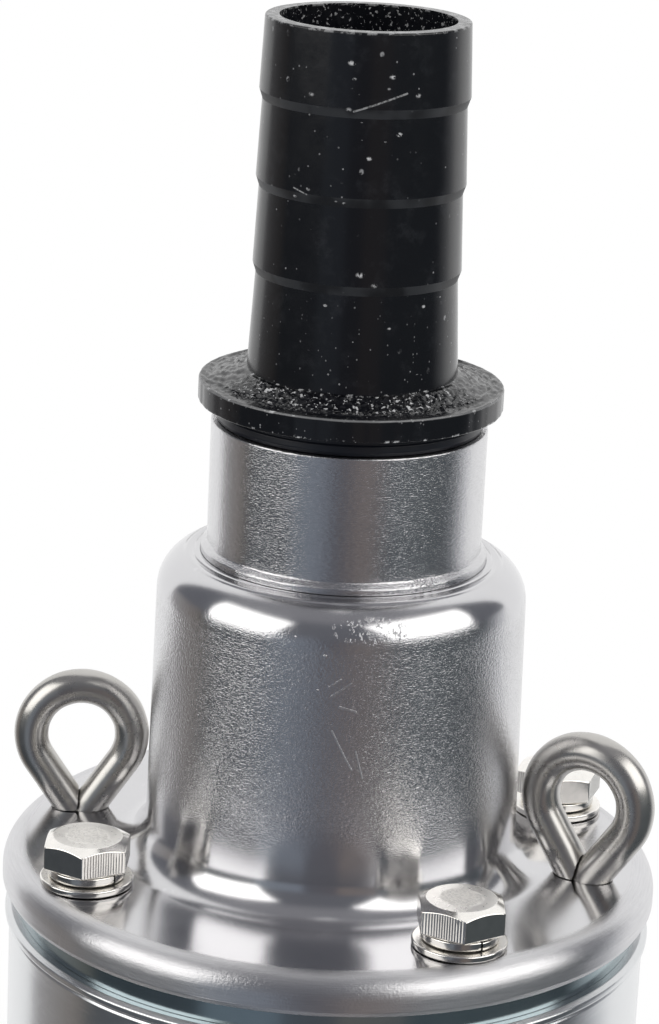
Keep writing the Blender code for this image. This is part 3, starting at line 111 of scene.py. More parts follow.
# Corners of (radius, height, fillet), joined by straight runs and arcs; two fillets that
# meet on a short run share it
def rounded(corners, arcSteps=5, closed=True):
    spots = [Vector(corner[:2]) for corner in corners]
    count = len(corners)
    halves, wanted = [], []
    for index, (x, y, fillet) in enumerate(corners):
        isSharp = fillet <= 0 or (not closed and index in (0, count - 1))
        before, after = spots[index - 1] - spots[index], spots[(index + 1) % count] - spots[index]
        halves.append(1.0 if isSharp else before.angle(after) / 2)
        wanted.append(0.0 if isSharp else fillet / math.tan(halves[index]))
    points = []
    for index, here in enumerate(spots):
        if wanted[index] == 0.0:
            points.append(tuple(here))
            continue
        share = 1.0
        for other in (index - 1, (index + 1) % count):
            run = (spots[other] - here).length
            share = min(share, 0.98 * run / (wanted[index] + wanted[other]))
        before = (spots[index - 1] - here).normalized()
        after = (spots[(index + 1) % count] - here).normalized()
        reach = wanted[index] * share
        radius = reach * math.tan(halves[index])
        centre = here + (before + after).normalized() * radius / math.sin(halves[index])
        start, end = here + before * reach - centre, here + after * reach - centre
        sweep = math.pi - 2 * halves[index]
        if start.x * end.y - start.y * end.x < 0:
            sweep = -sweep
        for step in range(arcSteps + 1):
            angle = sweep * step / arcSteps
            x = start.x * math.cos(angle) - start.y * math.sin(angle)
            y = start.x * math.sin(angle) + start.y * math.cos(angle)
            points.append((centre.x + x, centre.y + y))
    return points


# A closed profile turned about the axis; warp may move each point
def turned(profile, steps=160, warp=None):
    points, faces = [], []
    count = len(profile)
    for step in range(steps):
        angle = tau * step / steps
        for radius, height in profile:
            r, z = warp(radius, angle, height) if warp else (radius, height)
            points.append(Vector((r * math.cos(angle), r * math.sin(angle), z)))
    for step in range(steps):
        after = (step + 1) % steps
        for index in range(count):
            following = (index + 1) % count
            if profile[index][0] == 0 and profile[following][0] == 0:
                continue
            faces.append((step * count + index, after * count + index,
                          after * count + following, step * count + following))
    return points, faces


# Rings of points joined in order, with both ends closed
def lofted(rings):
    points = [Vector(point) for ring in rings for point in ring]
    count = len(rings[0])
    faces = []
    for level in range(len(rings) - 1):
        for index in range(count):
            after = (index + 1) % count
            low, high = level * count, (level + 1) * count
            faces.append((low + index, low + after, high + after, high + index))
    faces.append(tuple(reversed(range(count))))
    faces.append(tuple(range((len(rings) - 1) * count, len(rings) * count)))
    return points, faces


def prism(outline, low, high):
    return lofted([[(x, y, low) for x, y in outline], [(x, y, high) for x, y in outline]])


def circle(centre, radius, count=48):
    return [(centre[0] + radius * math.cos(tau * index / count),
             centre[1] + radius * math.sin(tau * index / count)) for index in range(count)]


# An outline of (across, height) pushed out along one radius
def radialPrism(outline, degrees, inner, outer):
    out = direction(degrees)
    across = Vector((-out.y, out.x, 0.0))
    rings = [[out * reach + across * a + upright(z) for a, z in outline]
             for reach in (inner, outer)]
    return lofted(rings)


# The same outline at equal angles round the axis
def spokes(outline, count, inner, outer, first=0.0):
    return [radialPrism(outline, first + 360.0 * index / count, inner, outer) for index in range(count)]


def window(half, low, high, fillet, arcSteps):
    corners = [(-half, low, fillet), (half, low, fillet), (half, high, fillet), (-half, high, fillet)]
    return rounded(corners, arcSteps)


# A turned shape laid along one radius, its profile being (radius, reach)
def radialTurned(profile, degrees, height, steps=32):
    points, faces = turned(profile, steps)
    out = direction(degrees)
    across = Vector((-out.y, out.x, 0.0))
    laid = [out * p.z + across * p.x + upright(p.y + height) for p in points]
    return laid, faces


# Cutters for holes on a node's own axis, upright or along its radius
def uprightDrill(node, radius, low, high):
    return prism(circle(middle(node), radius, 32), low, high)


def radialDrill(node, radius, outer, inner):
    profile = [(0.0, outer), (radius, outer), (radius, inner), (0.0, inner)]
    return radialTurned(profile, bearing(node), middle(node).z)


# How much further out a hexagon reaches at an angle than at the middle of a flat
def hexReach(angle):
    turn = (angle + tau / 12) % (tau / 6) - tau / 12
    return 1.0 / math.cos(math.pi / 6 - abs(turn))


def shifted(shape, offset, turnDeg=0.0):
    spin = Matrix.Rotation(math.radians(turnDeg), 3, "Z")
    return [spin @ p + Vector(offset) for p in shape[0]], shape[1]


# Six times the volume inside the faces, below zero where they look inwards
def insideOf(points, faces):
    total = 0.0
    for face in faces:
        first = points[face[0]]
        for second, third in zip(face[1:-1], face[2:]):
            total += first.dot(points[second].cross(points[third]))
    return total


def addMesh(name, shapes):
    mesh = bmesh.new()
    for points, faces in shapes:
        made = [mesh.verts.new(point * mm) for point in points]
        facesOut = insideOf(points, faces) > 0
        for face in faces:
            order = face if facesOut else face[::-1]
            mesh.faces.new([made[index] for index in order])
    bmesh.ops.remove_doubles(mesh, verts=mesh.verts[:], dist=1e-7)
    data = bpy.data.meshes.new(name)
    mesh.to_mesh(data)
    mesh.free()
    return linked(name, data)


# A piece turned from corners of (radius, height, fillet)
def lathe(name, corners, steps, arcSteps=5, warp=None):
    return addMesh(name, [turned(rounded(corners, arcSteps), steps, warp)])


def placed(piece, spot, turnDeg):
    turn = Matrix.Rotation(math.radians(turnDeg), 4, "Z")
    piece.matrix_world = Matrix.Translation(Vector(spot) * mm) @ turn


def cutOut(piece, shapes):
    tool = addMesh("cutter", shapes)
    modifier = piece.modifiers.new("cut", "BOOLEAN")
    modifier.operation = "DIFFERENCE"
    modifier.solver = "EXACT"
    modifier.object = tool
    depsgraph = bpy.context.evaluated_depsgraph_get()
    result = bpy.data.meshes.new_from_object(piece.evaluated_get(depsgraph))
    piece.modifiers.remove(modifier)
    piece.data = result
    bpy.data.objects.remove(tool)


# Shades the piece, fits its edges and hangs it on its body
def finishPiece(piece, look, nodes, body="root", bevel=0.0, sharpDeg=32):
    piece.data.materials.clear()
    piece.data.materials.append(look)
    piece.data.shade_smooth()
    piece.data.set_sharp_from_angle(angle=math.radians(sharpDeg))
    if bevel:
        edge = piece.modifiers.new("edge", "BEVEL")
        edge.width = bevel * mm
        edge.segments = 2
        edge.limit_method = "ANGLE"
        edge.angle_limit = math.radians(sharpDeg)
    weighted = piece.modifiers.new("normals", "WEIGHTED_NORMAL")
    weighted.keep_sharp = True
    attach(piece, body)
    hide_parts(*nodes)
    return piece


# Materials

# One value in a node tree: sums are written as sums, and | takes the larger of two masks
class Signal:
    def __init__(self, nodes, socket):
        self.nodes, self.socket = nodes, socket

    def __add__(self, other):
        return self.nodes.math("ADD", self, other)

    def __mul__(self, other):
        return self.nodes.math("MULTIPLY", self, other)

    def __or__(self, other):
        return self.nodes.math("MAXIMUM", self, other)

    def __sub__(self, other):
        return self.nodes.math("SUBTRACT", self, other)

    def __rsub__(self, other):
        return self.nodes.math("SUBTRACT", other, self)

    def __abs__(self):
        return self.nodes.math("ABSOLUTE", self)

    __radd__, __rmul__, __ror__ = __add__, __mul__, __or__

    # Another output of the same node
    def sibling(self, name):
        return Signal(self.nodes, self.socket.node.outputs[name])


class Nodes:
    def __init__(self, tree):
        self.tree = tree

    # Adds a node and gives one of its outputs
    def add(self, kind, output=0, inputs=None, **settings):
        made = self.tree.nodes.new("ShaderNode" + kind)
        for name, value in settings.items():
            setattr(made, name, value)
        for name, value in (inputs or {}).items():
            self.feed(made.inputs[name], value)
        return Signal(self, made.outputs[output])

    def feed(self, socket, value):
        if isinstance(value, Signal):
            self.tree.links.new(value.socket, socket)
        else:
            socket.default_value = value

    def show(self, output, shader):
        self.feed(self.tree.nodes[output].inputs["Surface"], shader)

    def math(self, kind, *values):
        return self.add("Math", 0, dict(enumerate(values)), operation=kind)

    def vector(self, kind, first, second=(0.0, 0.0, 0.0), scale=1.0):
        output = "Value" if kind in ("LENGTH", "DOT_PRODUCT", "DISTANCE") else "Vector"
        return self.add("VectorMath", output, {0: first, 1: second, 3: scale}, operation=kind)

    def split(self, vector):
        x = self.add("SeparateXYZ", "X", {0: vector})
        return x, x.sibling("Y"), x.sibling("Z")

    # A smooth step from 0 at low to 1 at high
    def step(self, value, low, high):
        return self.add("MapRange", 0, {"Value": value, "From Min": low, "From Max": high},
                        interpolation_type="SMOOTHSTEP")

    def mix(self, factor, a, b):
        return self.add("Mix", 2, {0: factor, 6: a, 7: b}, data_type="RGBA")

    def blend(self, factor, a, b):
        return self.add("Mix", 0, {0: factor, 2: a, 3: b})


class Graph(Nodes):
    def __init__(self, name, colour, roughness, metallic, **fixed):
        self.material = bpy.data.materials.new(name)
        self.material.use_nodes = True
        super().__init__(self.material.node_tree)
        self.shader = self.tree.nodes["Principled BSDF"]
        self.shader.inputs["Base Color"].default_value = (*colour, 1.0)
        self.shader.inputs["Roughness"].default_value = roughness
        self.shader.inputs["Metallic"].default_value = metallic
        for socket, value in fixed.items():
            self.shader.inputs[socket.replace("_", " ")].default_value = value
        self.place = self.add("TexCoord", "Object")

    def noise(self, vector, scale, detail=2.0, roughness=0.5):
        return self.add("TexNoise", 0, {"Vector": vector, "Scale": scale, "Detail": detail,
                                        "Roughness": roughness})

    # The same in the object's own space, and patches of it from 0 at low to 1 at high
    def grain(self, scale, detail=2.0, roughness=0.5):
        return self.noise(self.place, scale, detail, roughness)

    def patches(self, low, high, *settings):
        return self.step(self.grain(*settings), low, high)

    def stretch(self, vector, scale):
        return self.add("Mapping", 0, {"Vector": vector, "Scale": scale})

    # Bumps pile up: each takes the last one's normal
    def bump(self, height, strength, distance):
        inputs = {"Height": height, "Strength": strength, "Distance": distance * mm}
        last = self.shader.inputs["Normal"]
        if last.is_linked:
            inputs["Normal"] = Signal(self, last.links[0].from_socket)
        self.feed(last, self.add("Bump", 0, inputs))

    def colour(self, value):
        self.feed(self.shader.inputs["Base Color"], value)

    # A metal's colour, dark at tone 0 and full at 1
    def shade(self, tone, bright, tint):
        self.colour(self.mix(tone, grey(0.0), grey(bright, tint)))

    def rough(self, value):
        self.feed(self.shader.inputs["Roughness"], value)

    def roundTangent(self):
        self.feed(self.shader.inputs["Tangent"], self.add("Tangent", 0, direction_type="RADIAL", axis="Z"))

    # How far a face looks up, from -1 to 1
    def facingUp(self):
        return self.split(self.add("TexCoord", "Normal"))[2]

    # Radius from the axis and height, in millimetres, and the way out from the axis
    def radiusAndHeight(self):
        x, y, z = self.split(self.place)
        flat = self.add("CombineXYZ", 0, {0: x, 1: y})
        return self.vector("LENGTH", flat) * (1 / mm), z * (1 / mm), self.vector("NORMALIZE", flat)

    # Coordinates for lines that run round the axis over walls, fillets and flats alike
    def lathePlace(self, along, across):
        radius, height, unit = self.radiusAndHeight()
        x, y, _ = self.split(self.vector("SCALE", unit, scale=along))
        return self.add("CombineXYZ", 0, {0: x, 1: y, 2: (radius - height) * across})

    def roundGrain(self, along, across, detail=2.0, roughness=0.5):
        return self.noise(self.lathePlace(along, across), 1.0, detail, roughness)

    # Nearness to one spot, 1 at its middle and 0 at its edge
    def spot(self, place, size, squash=(1.0, 1.0, 1.0)):
        local = self.vector("SUBTRACT", self.place, [value * mm for value in place])
        away = self.vector("LENGTH", self.vector("MULTIPLY", local, squash))
        return self.step(away, size * mm, 0.35 * size * mm)

    # Small marks on a wall, each by (degrees from the front, height, size)
    def nicks(self, radius, marks):
        total = 0.0
        for degrees, height, size in marks:
            out = direction(degrees - 90.0) * radius
            total = total | self.spot((out.x, out.y, height), size, (1.0, 1.0, 1.5))
        return total

    # Thin lines on a wall, each by (start, end, width), told from the front
    def scratches(self, lines):
        flat = (1.0, 0.05, 1.0)
        total = 0.0
        for start, end, width in lines:
            line = Vector([(b - a) * share for a, b, share in zip(start, end, flat)]) * mm
            along = line.normalized()
            local = self.vector("SUBTRACT", self.place, [value * mm for value in start])
            local = self.vector("MULTIPLY", local, flat)
            reach = self.math("MINIMUM", self.vector("DOT_PRODUCT", local, along) | 0.0, line.length)
            away = self.vector("DISTANCE", local, self.vector("SCALE", along, scale=reach))
            total = total | self.step(away, width * mm, 0.4 * width * mm)
        return total


def grey(value, tint=(1.0, 1.0, 1.0)):
    return (value * tint[0], value * tint[1], value * tint[2], 1.0)


coolTint = (0.97, 0.985, 1.0)
warmTint = (1.0, 0.975, 0.93)
lilacTint = (0.985, 0.98, 1.0)

# Sheet steel with a grain that runs round the axis; the neck has coarser dashes over it
steelValues = {
    "grainAlong": 22.0, "grainAcross": 4.2, "grainBump": 0.40, "grainDepth": 0.06,
    "speckScale": 4200.0, "speckBump": 0.16, "waveScale": 90.0, "waveBump": 0.10, "waveDepth": 0.5,
    "cloudScale": 63.0, "anisotropy": 0.75,
}
neckSteelValues = dict(steelValues, anisotropy=0.85, dashAlong=30.0, dashAcross=6.0, dashBump=0.55,
                       dashDepth=0.12, dashTone=0.22)


def grainedSteel(name, bright, roughness, tint=coolTint, values=steelValues, grain=1.0):
    v = values
    g = Graph(name, (bright,) * 3, roughness, 1.0, Anisotropic=v["anisotropy"], Anisotropic_Rotation=0.25)
    g.roundTangent()
    lines = g.roundGrain(v["grainAlong"], v["grainAcross"], 3.0, 0.6)
    clouds = g.grain(v["cloudScale"], 3.0)
    tone = (lines * (0.16 * grain) + (0.92 - 0.08 * grain)) * (clouds * 0.10 + 0.97)
    g.rough(clouds * 0.06 + lines * (0.14 * grain) + (roughness - 0.07 * grain))
    g.bump(g.grain(v["waveScale"], 1.0), v["waveBump"], v["waveDepth"])
    if "dashBump" in v:
        dashes = g.roundGrain(v["dashAlong"], v["dashAcross"], 2.0, 0.6)
        tone = tone + (dashes - 0.5) * v["dashTone"]
        g.bump(dashes, v["dashBump"], v["dashDepth"])
    g.shade(tone, bright, tint)
    g.bump(lines, v["grainBump"] * grain, v["grainDepth"])
    g.bump(g.grain(v["speckScale"], 1.0), v["speckBump"] * grain, v["grainDepth"])
    return g


# Noises as (along, across) or scale; heights from the flange's top and down from the cap's top
headSteelValues = {
    "bright": 0.72, "dashes": (30.0, 6.4), "lines": (26.0, 6.5), "rimLines": (9.0, 3.2),
    "specks": 2600.0, "clouds": 60.0, "waves": 70.0, "chips": 1250.0, "hair": (500.0, 260.0, 90.0),
    "brushFrom": (8.0, 17.0), "brushTo": (3.0, 8.5), "rimFrom": (4.3, 3.2), "markRoughness": 0.42,
    # each ring by radius, half width and height
    "weldRings": ((25.2, 0.80, 0.20), (24.1, 0.45, -0.16)),
    "scuffs": {"place": (4.6, -27.6, 452.2), "size": 3.8, "squash": (0.5, 1.0, 1.5)},
    "nicks": ((-5.5, 443.0, 0.3), (-3.9, 448.6, 0.35), (-7.0, 451.8, 0.3), (-10.0, 452.3, 0.3),
              (-13.0, 451.2, 0.25), (7.2, 429.4, 0.25)),
    "scratches": (((-0.5, -29.8, 436.5), (2.9, -29.6, 430.1), 0.15),
                  ((0.6, -29.8, 440.4), (3.1, -29.7, 439.7), 0.22),
                  ((-0.8, -29.8, 442.1), (2.2, -29.6, 444.3), 0.15),
                  ((-1.2, -29.8, 443.6), (0.6, -29.6, 444.9), 0.13),
                  ((3.4, -29.6, 433.2), (4.6, -29.5, 428.8), 0.12)),
}


def headSteel():
    v = headSteelValues
    flangeTop, capTop = bottom("discharge_head") + headValues["flangeH"], top("discharge_head")
    rimR = headValues["flangeR"]
    g = Graph("drawnHeadSteel", (0.66,) * 3, 0.16, 1.0, Anisotropic=0.85, Anisotropic_Rotation=0.25)
    g.roundTangent()
    radius, height, _ = g.radiusAndHeight()
    dashes = g.roundGrain(*v["dashes"], 2.5, 0.65)
    lines = g.roundGrain(*v["lines"], 3.0, 0.65)
    clouds = g.grain(v["clouds"], 3.0)
    # the wall is brushed, the rim satin, the shoulder, foot and flat nearly polished
    onWall = g.step(height, flangeTop + v["brushFrom"][0], flangeTop + v["brushFrom"][1])
    brushed = onWall * g.step(height, capTop - v["brushTo"][0], capTop - v["brushTo"][1])
    onRim = g.step(radius, rimR - v["rimFrom"][0], rimR - v["rimFrom"][1])
    polish, satin, brush = clouds * 0.10 + 0.11, lines * 0.16 + 0.24, lines * 0.14 + 0.09
    finish = g.blend(brushed, g.blend(onRim, polish, satin), brush)
    rimLines = (g.roundGrain(*v["rimLines"], 3.0, 0.7) - 0.5) * onRim
    tone = ((dashes - 0.5) * brushed * 0.28 + 0.93) * (clouds * 0.12 + 0.95) + rimLines * 0.30
    g.bump(g.grain(v["waves"], 1.0), 0.12, 0.6)
    g.bump(dashes * (brushed * 0.95 + 0.05), 0.70, 0.10)
    g.bump(lines * (brushed * 0.85 + 0.15), 0.40, 0.06)
    g.bump(g.grain(v["specks"], 1.0) * (brushed | onRim * 0.35), 0.60, 0.12)
    g.bump(rimLines, 0.50, 0.06)
    # the weld's second ring, with a groove inside it
    for ringR, half, tall in v["weldRings"]:
        g.bump(g.step(abs(radius - ringR), half, 0.0) * tall * onWall, 1.0, 1.0)
    # scuffs on the front of the shoulder, nicks and scratches on the wall
    chips = g.step(g.noise(g.stretch(g.place, (1.0, 1.0, 0.7)), v["chips"], 4.0, 0.7), 0.55, 0.63)
    marks = chips * g.spot(**v["scuffs"]) | g.nicks(headValues["capR"], v["nicks"])
    g.bump(marks, 0.5, 0.25)
    scratched = g.scratches(v["scratches"])
    g.bump(scratched, 0.35, 0.12)
    marks = marks | scratched * 0.55
    g.rough(g.blend(marks, finish, v["markRoughness"]))
    # a few long hairlines
    hair = g.math("COMPARE", g.noise(g.stretch(g.place, v["hair"]), 1.0, 1.0), 0.5, 0.006)
    hair = hair * g.patches(0.60, 0.66, 110.0, 1.0)
    g.shade(tone + hair * 0.5 + marks * 0.40, v["bright"], lilacTint)
    return g.material


# Semi-gloss paint with chips, flecks and rubbed edges, and painted glints and painted reflections on it
paintValues = {
    "dark": (0.0055, 0.006, 0.008, 1.0), "dust": (0.20, 0.21, 0.23, 1.0), "chip": (0.34, 0.34, 0.35, 1.0),
    # the bare colour serves both bare metal and painted glints, and the chamfer colour is a painted
    # reflection
    "bareAndGlint": (0.66, 0.66, 0.67, 1.0), "chamfer": (0.030, 0.032, 0.036, 1.0),
    "nicks": ((-7.9, 537.9, 0.75), (-6.1, 535.5, 0.50), (-7.2, 534.1, 0.40), (-29.7, 532.6, 0.70),
              (-25.8, 530.9, 0.55), (14.4, 536.0, 0.70), (12.5, 534.2, 0.50), (29.4, 533.1, 0.70),
              (-8.3, 530.9, 0.70), (19.9, 527.2, 0.60), (3.6, 523.5, 0.60), (-29.0, 518.0, 0.60),
              (-10.2, 519.6, 0.45), (-13.1, 516.7, 0.40), (-8.7, 516.5, 0.40), (-38.0, 516.6, 0.50),
              (1.8, 505.5, 0.90), (9.7, 503.9, 0.75), (-26.9, 505.5, 0.35), (19.3, 497.1, 0.45),
              (40.9, 500.1, 0.45), (-16.6, 500.3, 0.40)),
    "scratches": (((-1.6, -15.9, 530.6), (6.3, -14.8, 533.5), 0.20),
                  ((-10.2, -12.4, 517.9), (-8.2, -13.9, 517.2), 0.14)),
}


def chippedPaint():
    v = paintValues
    low, rim, collarR = span("hose_barb")
    collarLow = low + barbValues["bossH"]
    collarTop = collarLow + barbValues["collarH"]
    jointH = collarTop + barbValues["slopeH"] - 0.1
    g = Graph("chippedBlackPaint", v["dark"][:3], 0.3, 0.0, Specular_IOR_Level=0.46)
    radius, height, unit = g.radiusAndHeight()

    def flecks(scale, size, rare, tall=1.0):
        place = g.stretch(g.place, (1.0, 1.0, tall))
        cell = g.add("TexVoronoi", "Distance", {"Vector": place, "Scale": scale})
        pick = g.split(cell.sibling("Color"))[0]
        return g.step(cell, size, size * 0.6) * g.math("GREATER_THAN", pick, rare)

    ragged = g.patches(0.40, 0.55, 2600.0, 3.0)
    patches = g.patches(0.42, 0.62, 150.0, 2.0)
    marks = (flecks(420.0, 0.20, 0.90, 0.8) | flecks(300.0, 0.10, 0.90, 2.6)) * ragged
    marks = (marks | flecks(1100.0, 0.20, 0.86)) * patches
    spray = flecks(1500.0, 0.22, 0.80, 0.8) * g.step(height, collarTop + 20.0, collarTop + 8.0)
    marks = marks | spray * 0.6
    # rubbed rim and collar edges, and a broken line where the collar's slope meets the tube
    wear = g.grain(700.0, 4.0, 0.65)
    rimWear = g.step(height, rim - 0.45, rim - 0.10) * g.step(wear, 0.50, 0.58) * 0.45
    highEdge = g.step(radius, collarR - 0.5, collarR - 0.15) * g.step(abs(height - collarTop), 0.45, 0.10)
    lowEdge = g.step(radius, collarR - 0.6, collarR - 0.2) * g.step(height - collarLow, 0.5, 0.15)
    joint = g.step(abs(height - jointH), 0.22, 0.05) * g.step(radius, 17.4, 17.0)
    edgeWear = highEdge * g.step(wear, 0.57, 0.63) | (lowEdge | joint) * g.step(wear, 0.55, 0.62)
    edgeWear = edgeWear | g.nicks(barbValues["rimR"], v["nicks"]) * ragged
    edgeWear = edgeWear | g.scratches(v["scratches"]) * (ragged * 0.35 + 0.15)
    # glossy lumps at the front of the slope, with painted glints on their tops; painted highlights also run
    # along the collar's top edge and inside the bore
    lumpy = g.step(g.split(unit)[1], -0.30, -0.60) * g.step(radius, 16.9, 17.4)
    lumpy = lumpy * g.step(height, collarTop + 0.1, collarTop + 0.5)
    inBore = g.step(radius, 14.3, 14.1) * g.step(height, rim - 14.0, rim - 6.0)
    edgeHighlight = g.step(radius, collarR - 0.45, collarR - 0.25)
    edgeHighlight = edgeHighlight * g.step(abs(height - (collarTop - 0.15)), 0.22, 0.05)
    glints = g.patches(0.60, 0.66, 1350.0, 2.0) * lumpy | edgeHighlight * 0.30
    glints = glints | g.patches(0.61, 0.68, 1900.0, 2.0) * inBore * 0.5
    # real bare wear together with the painted glints and the painted edge highlight
    bareAndGlint = rimWear | edgeWear | glints
    # the chamfers under the ridges are duller, and painted lighter as a painted reflection of the white
    # below them
    under = g.step(g.facingUp(), -0.10, -0.22) * g.step(height, collarTop + 4.0, collarTop + 6.0)
    dust = g.patches(0.50, 0.75, 240.0, 5.0, 0.7) * 0.05
    base = g.mix(marks * 0.8, g.mix(dust, v["dark"], v["dust"]), v["chip"])
    base = g.mix(under * g.step(patches, -0.3, 1.0), base, v["chamfer"])
    g.colour(g.mix(bareAndGlint * 0.9, base, v["bareAndGlint"]))
    clouds = g.grain(300.0, 4.0, 0.6)
    g.rough(g.blend(lumpy, under * 0.30 + clouds * 0.14 + 0.12, 0.11))
    g.bump(1.0 - (marks | bareAndGlint), 0.25, 0.08)
    g.bump(g.grain(620.0, 1.0, 0.4) * lumpy, 1.0, 0.6)
    g.bump(clouds, 0.08, 0.12)
    g.bump(g.grain(1500.0, 3.0), 0.10, 0.05)
    return g.material


def rubber(name, dark=(0.012, 0.012, 0.012), roughness=0.42):
    g = Graph(name, dark, roughness, 0.0, Specular_IOR_Level=0.45)
    clouds = g.grain(220.0, 4.0)
    g.colour(g.mix(clouds, (*(value * 0.7 for value in dark), 1.0), (*(value * 1.5 for value in dark), 1.0)))
    g.rough(clouds * 0.2 + (roughness - 0.1))
    g.bump(g.grain(1800.0, 2.0), 0.08, 0.05)
    return g.material


# Bright bolts and washers: screws have ribs up every other flat and a rough disc on top; their side faces
# are painted darker as painted shade
fastenerValues = {"ribs": 96.0, "screwR": (9.0, 8.0), "discR": (3.7, 3.1), "bright": 0.96, "side": 0.62}


def turnedFastener():
    v = fastenerValues
    g = Graph("brightFastener", (0.76, 0.74, 0.69), 0.2, 1.0)
    clouds = g.grain(900.0, 3.0)
    radius, _, unit = g.radiusAndHeight()
    facing = g.facingUp()
    onSide, onTop = g.step(abs(facing), 0.55, 0.25), g.step(facing, 0.90, 0.98)
    x, y, _ = g.split(unit)
    angle = g.math("ARCTAN2", y, x)
    ribbed = g.step(g.math("SINE", angle * 3.0), 0.1, -0.1) * g.patches(0.36, 0.52, 300.0, 2.0)
    ribs = g.math("SINE", angle * v["ribs"]) * ribbed * onSide * g.step(radius, *v["screwR"])
    disc = onTop * g.step(radius, *v["discR"])
    speckle = g.patches(0.42, 0.62, 2300.0, 3.0) * disc
    # the side value darkens every side face: painted shade
    tone = (clouds * 0.20 + 0.88) * g.blend(onSide, 1.0, v["side"]) * (ribs * 0.15 + 1.0)
    g.shade(tone + (speckle - disc * 0.35) * 0.30, v["bright"], warmTint)
    g.rough(disc * 0.16 + clouds * 0.14 + g.blend(onTop, 0.10, 0.22))
    g.bump(ribs, 0.50, 0.06)
    g.bump(speckle, 0.60, 0.10)
    g.bump(clouds, g.blend(onTop, 0.10, 0.03), 0.10)
    return g.material


def rodSteel():
    g = Graph("bentRodSteel", (0.5, 0.47, 0.43), 0.30, 1.0)
    clouds = g.grain(160.0, 4.0, 0.6)
    g.shade(clouds * 0.30 + 0.80, 0.58, warmTint)
    g.rough(clouds * 0.16 + 0.20)
    g.bump(clouds, 0.06, 0.3)
    g.bump(g.grain(2200.0, 3.0), 0.10, 0.04)
    return g.material


def castSteel(name="castSteel", bright=0.42):
    g = Graph(name, (bright,) * 3, 0.45, 1.0)
    clouds = g.grain(300.0, 5.0, 0.6)
    g.shade(clouds * 0.3 + 0.82, bright, coolTint)
    g.rough(clouds * 0.25 + 0.30)
    g.bump(g.grain(1300.0, 4.0), 0.35, 0.12)
    return g.material


def plainLook(name, colour, roughness, metallic, grainScale):
    g = Graph(name, colour, roughness, metallic)
    clouds = g.grain(grainScale, 4.0)
    g.colour(g.mix(clouds, (*(value * 0.75 for value in colour), 1.0), (*colour, 1.0)))
    g.rough(clouds * 0.2 + (roughness - 0.1))
    g.bump(clouds, 0.12, 0.1)
    return g.material


# Outlet

barbValues = {
    "rimR": 16.0, "ridgeR": 16.5, "rootR": 16.8, "wall": 2.2, "ridgeDrop": 11.5, "ridgeSpacing": 13.7,
    "ridges": 3, "chamfer": 1.5, "collarH": 3.6, "bossH": 19.5, "bossR": 16.4,
    "slopeH": 2.0, "slopeR": 22.6, "slopeRings": 26,
    "steps": 360, "spatterDepth": 0.42, "streakDepth": 0.30, "wallDepth": 0.05, "boreDepth": 0.2,
    "edgeDepth": 0.14, "boreRings": 60,
}


# Height of the collar's top over its edge, by radius: a slope up to the tube
def collarSlope(radius):
    v = barbValues
    share = (v["slopeR"] - radius) / (v["slopeR"] - v["rootR"])
    return v["slopeH"] * max(0.0, min(1.0, share)) ** 1.2


def hoseBarb():
    v = barbValues
    low, rim, collarR = span("hose_barb")
    collarLow = low + v["bossH"]
    collarTop = collarLow + v["collarH"]
    bore = v["rimR"] - v["wall"]
    corners = [(bore, rim, 0.25), (v["rimR"], rim, 0.3)]
    for index in range(v["ridges"]):
        ridge = rim - v["ridgeDrop"] - index * v["ridgeSpacing"]
        corners += [(v["ridgeR"], ridge, 0.25), (v["rimR"], ridge - v["chamfer"], 0.3)]
    corners += [(v["rootR"], collarTop + v["slopeH"], 0.0)]
    outer = rounded(corners, 5, closed=False)
    topRings = []
    for index in range(1, v["slopeRings"] + 1):
        radius = v["rootR"] + (collarR - 0.4 - v["rootR"]) * index / v["slopeRings"]
        topRings.append((radius, collarTop + collarSlope(radius)))
    edge = rounded([(collarR - 0.4, collarTop, 0.0), (collarR, collarTop, 0.3), (collarR, collarLow, 0.3),
                    (v["bossR"], collarLow, 0.0), (v["bossR"], low, 0.3), (bore, low, 0.3)], 4, closed=False)
    inner = [(bore, low + (rim - 0.3 - low) * index / v["boreRings"]) for index in range(1, v["boreRings"])]
    profile = outer + topRings + edge[1:-1] + inner

    # lumps of thick paint at the front, dragged streaks at the sides and back
    def warp(radius, angle, height):
        out = outward(angle)
        place = out * radius
        if height > collarTop - 0.05 and radius > v["rootR"] + 0.1:
            inside = min(1.0, (collarR - radius) / 0.8) * min(1.0, (radius - v["rootR"]) / 0.8)
            front = max(0.0, min(1.0, (-out.y - 0.25) * 2.2))
            onSlope = max(0.0, min(1.0, (v["slopeR"] + 0.6 - radius) / 1.2))
            lump = abs(noise.noise(place * 1.15)) + 0.5 * noise.noise(place * 2.6) - 0.2
            ring = Vector((out.x * 9.0, out.y * 9.0, radius * 1.9))
            streak = noise.noise(ring) + 0.5 * noise.noise(ring * 2.3)
            height += inside * front * onSlope * v["spatterDepth"] * lump * 1.6
            height += inside * (1.0 - 0.8 * front) * v["streakDepth"] * streak
        elif abs(radius - bore) < 0.1:
            tall = place + upright(height)
            lump = noise.noise(tall * 1.3) + 0.5 * noise.noise(tall * 3.0)
            radius += v["boreDepth"] * lump * min(1.0, (rim - height) / 2.0)
        elif abs(radius - collarR) < 0.3:
            radius += min(0.0, v["edgeDepth"] * noise.noise(place * 0.5 + upright(height)) - 0.02)
        elif radius < v["rootR"] + 0.1:
            radius += v["wallDepth"] * noise.noise(place * 0.25 + upright(height * 0.2)) - 0.03
        return radius, height

    return finishPiece(addMesh("hoseBarb", [turned(profile, v["steps"], warp)]), chippedPaint(),
                       ["hose_barb"], sharpDeg=50)


gasketValues = {"bore": 17.3, "lowerH": 1.35, "upperInset": 0.35, "squeeze": 0.2}


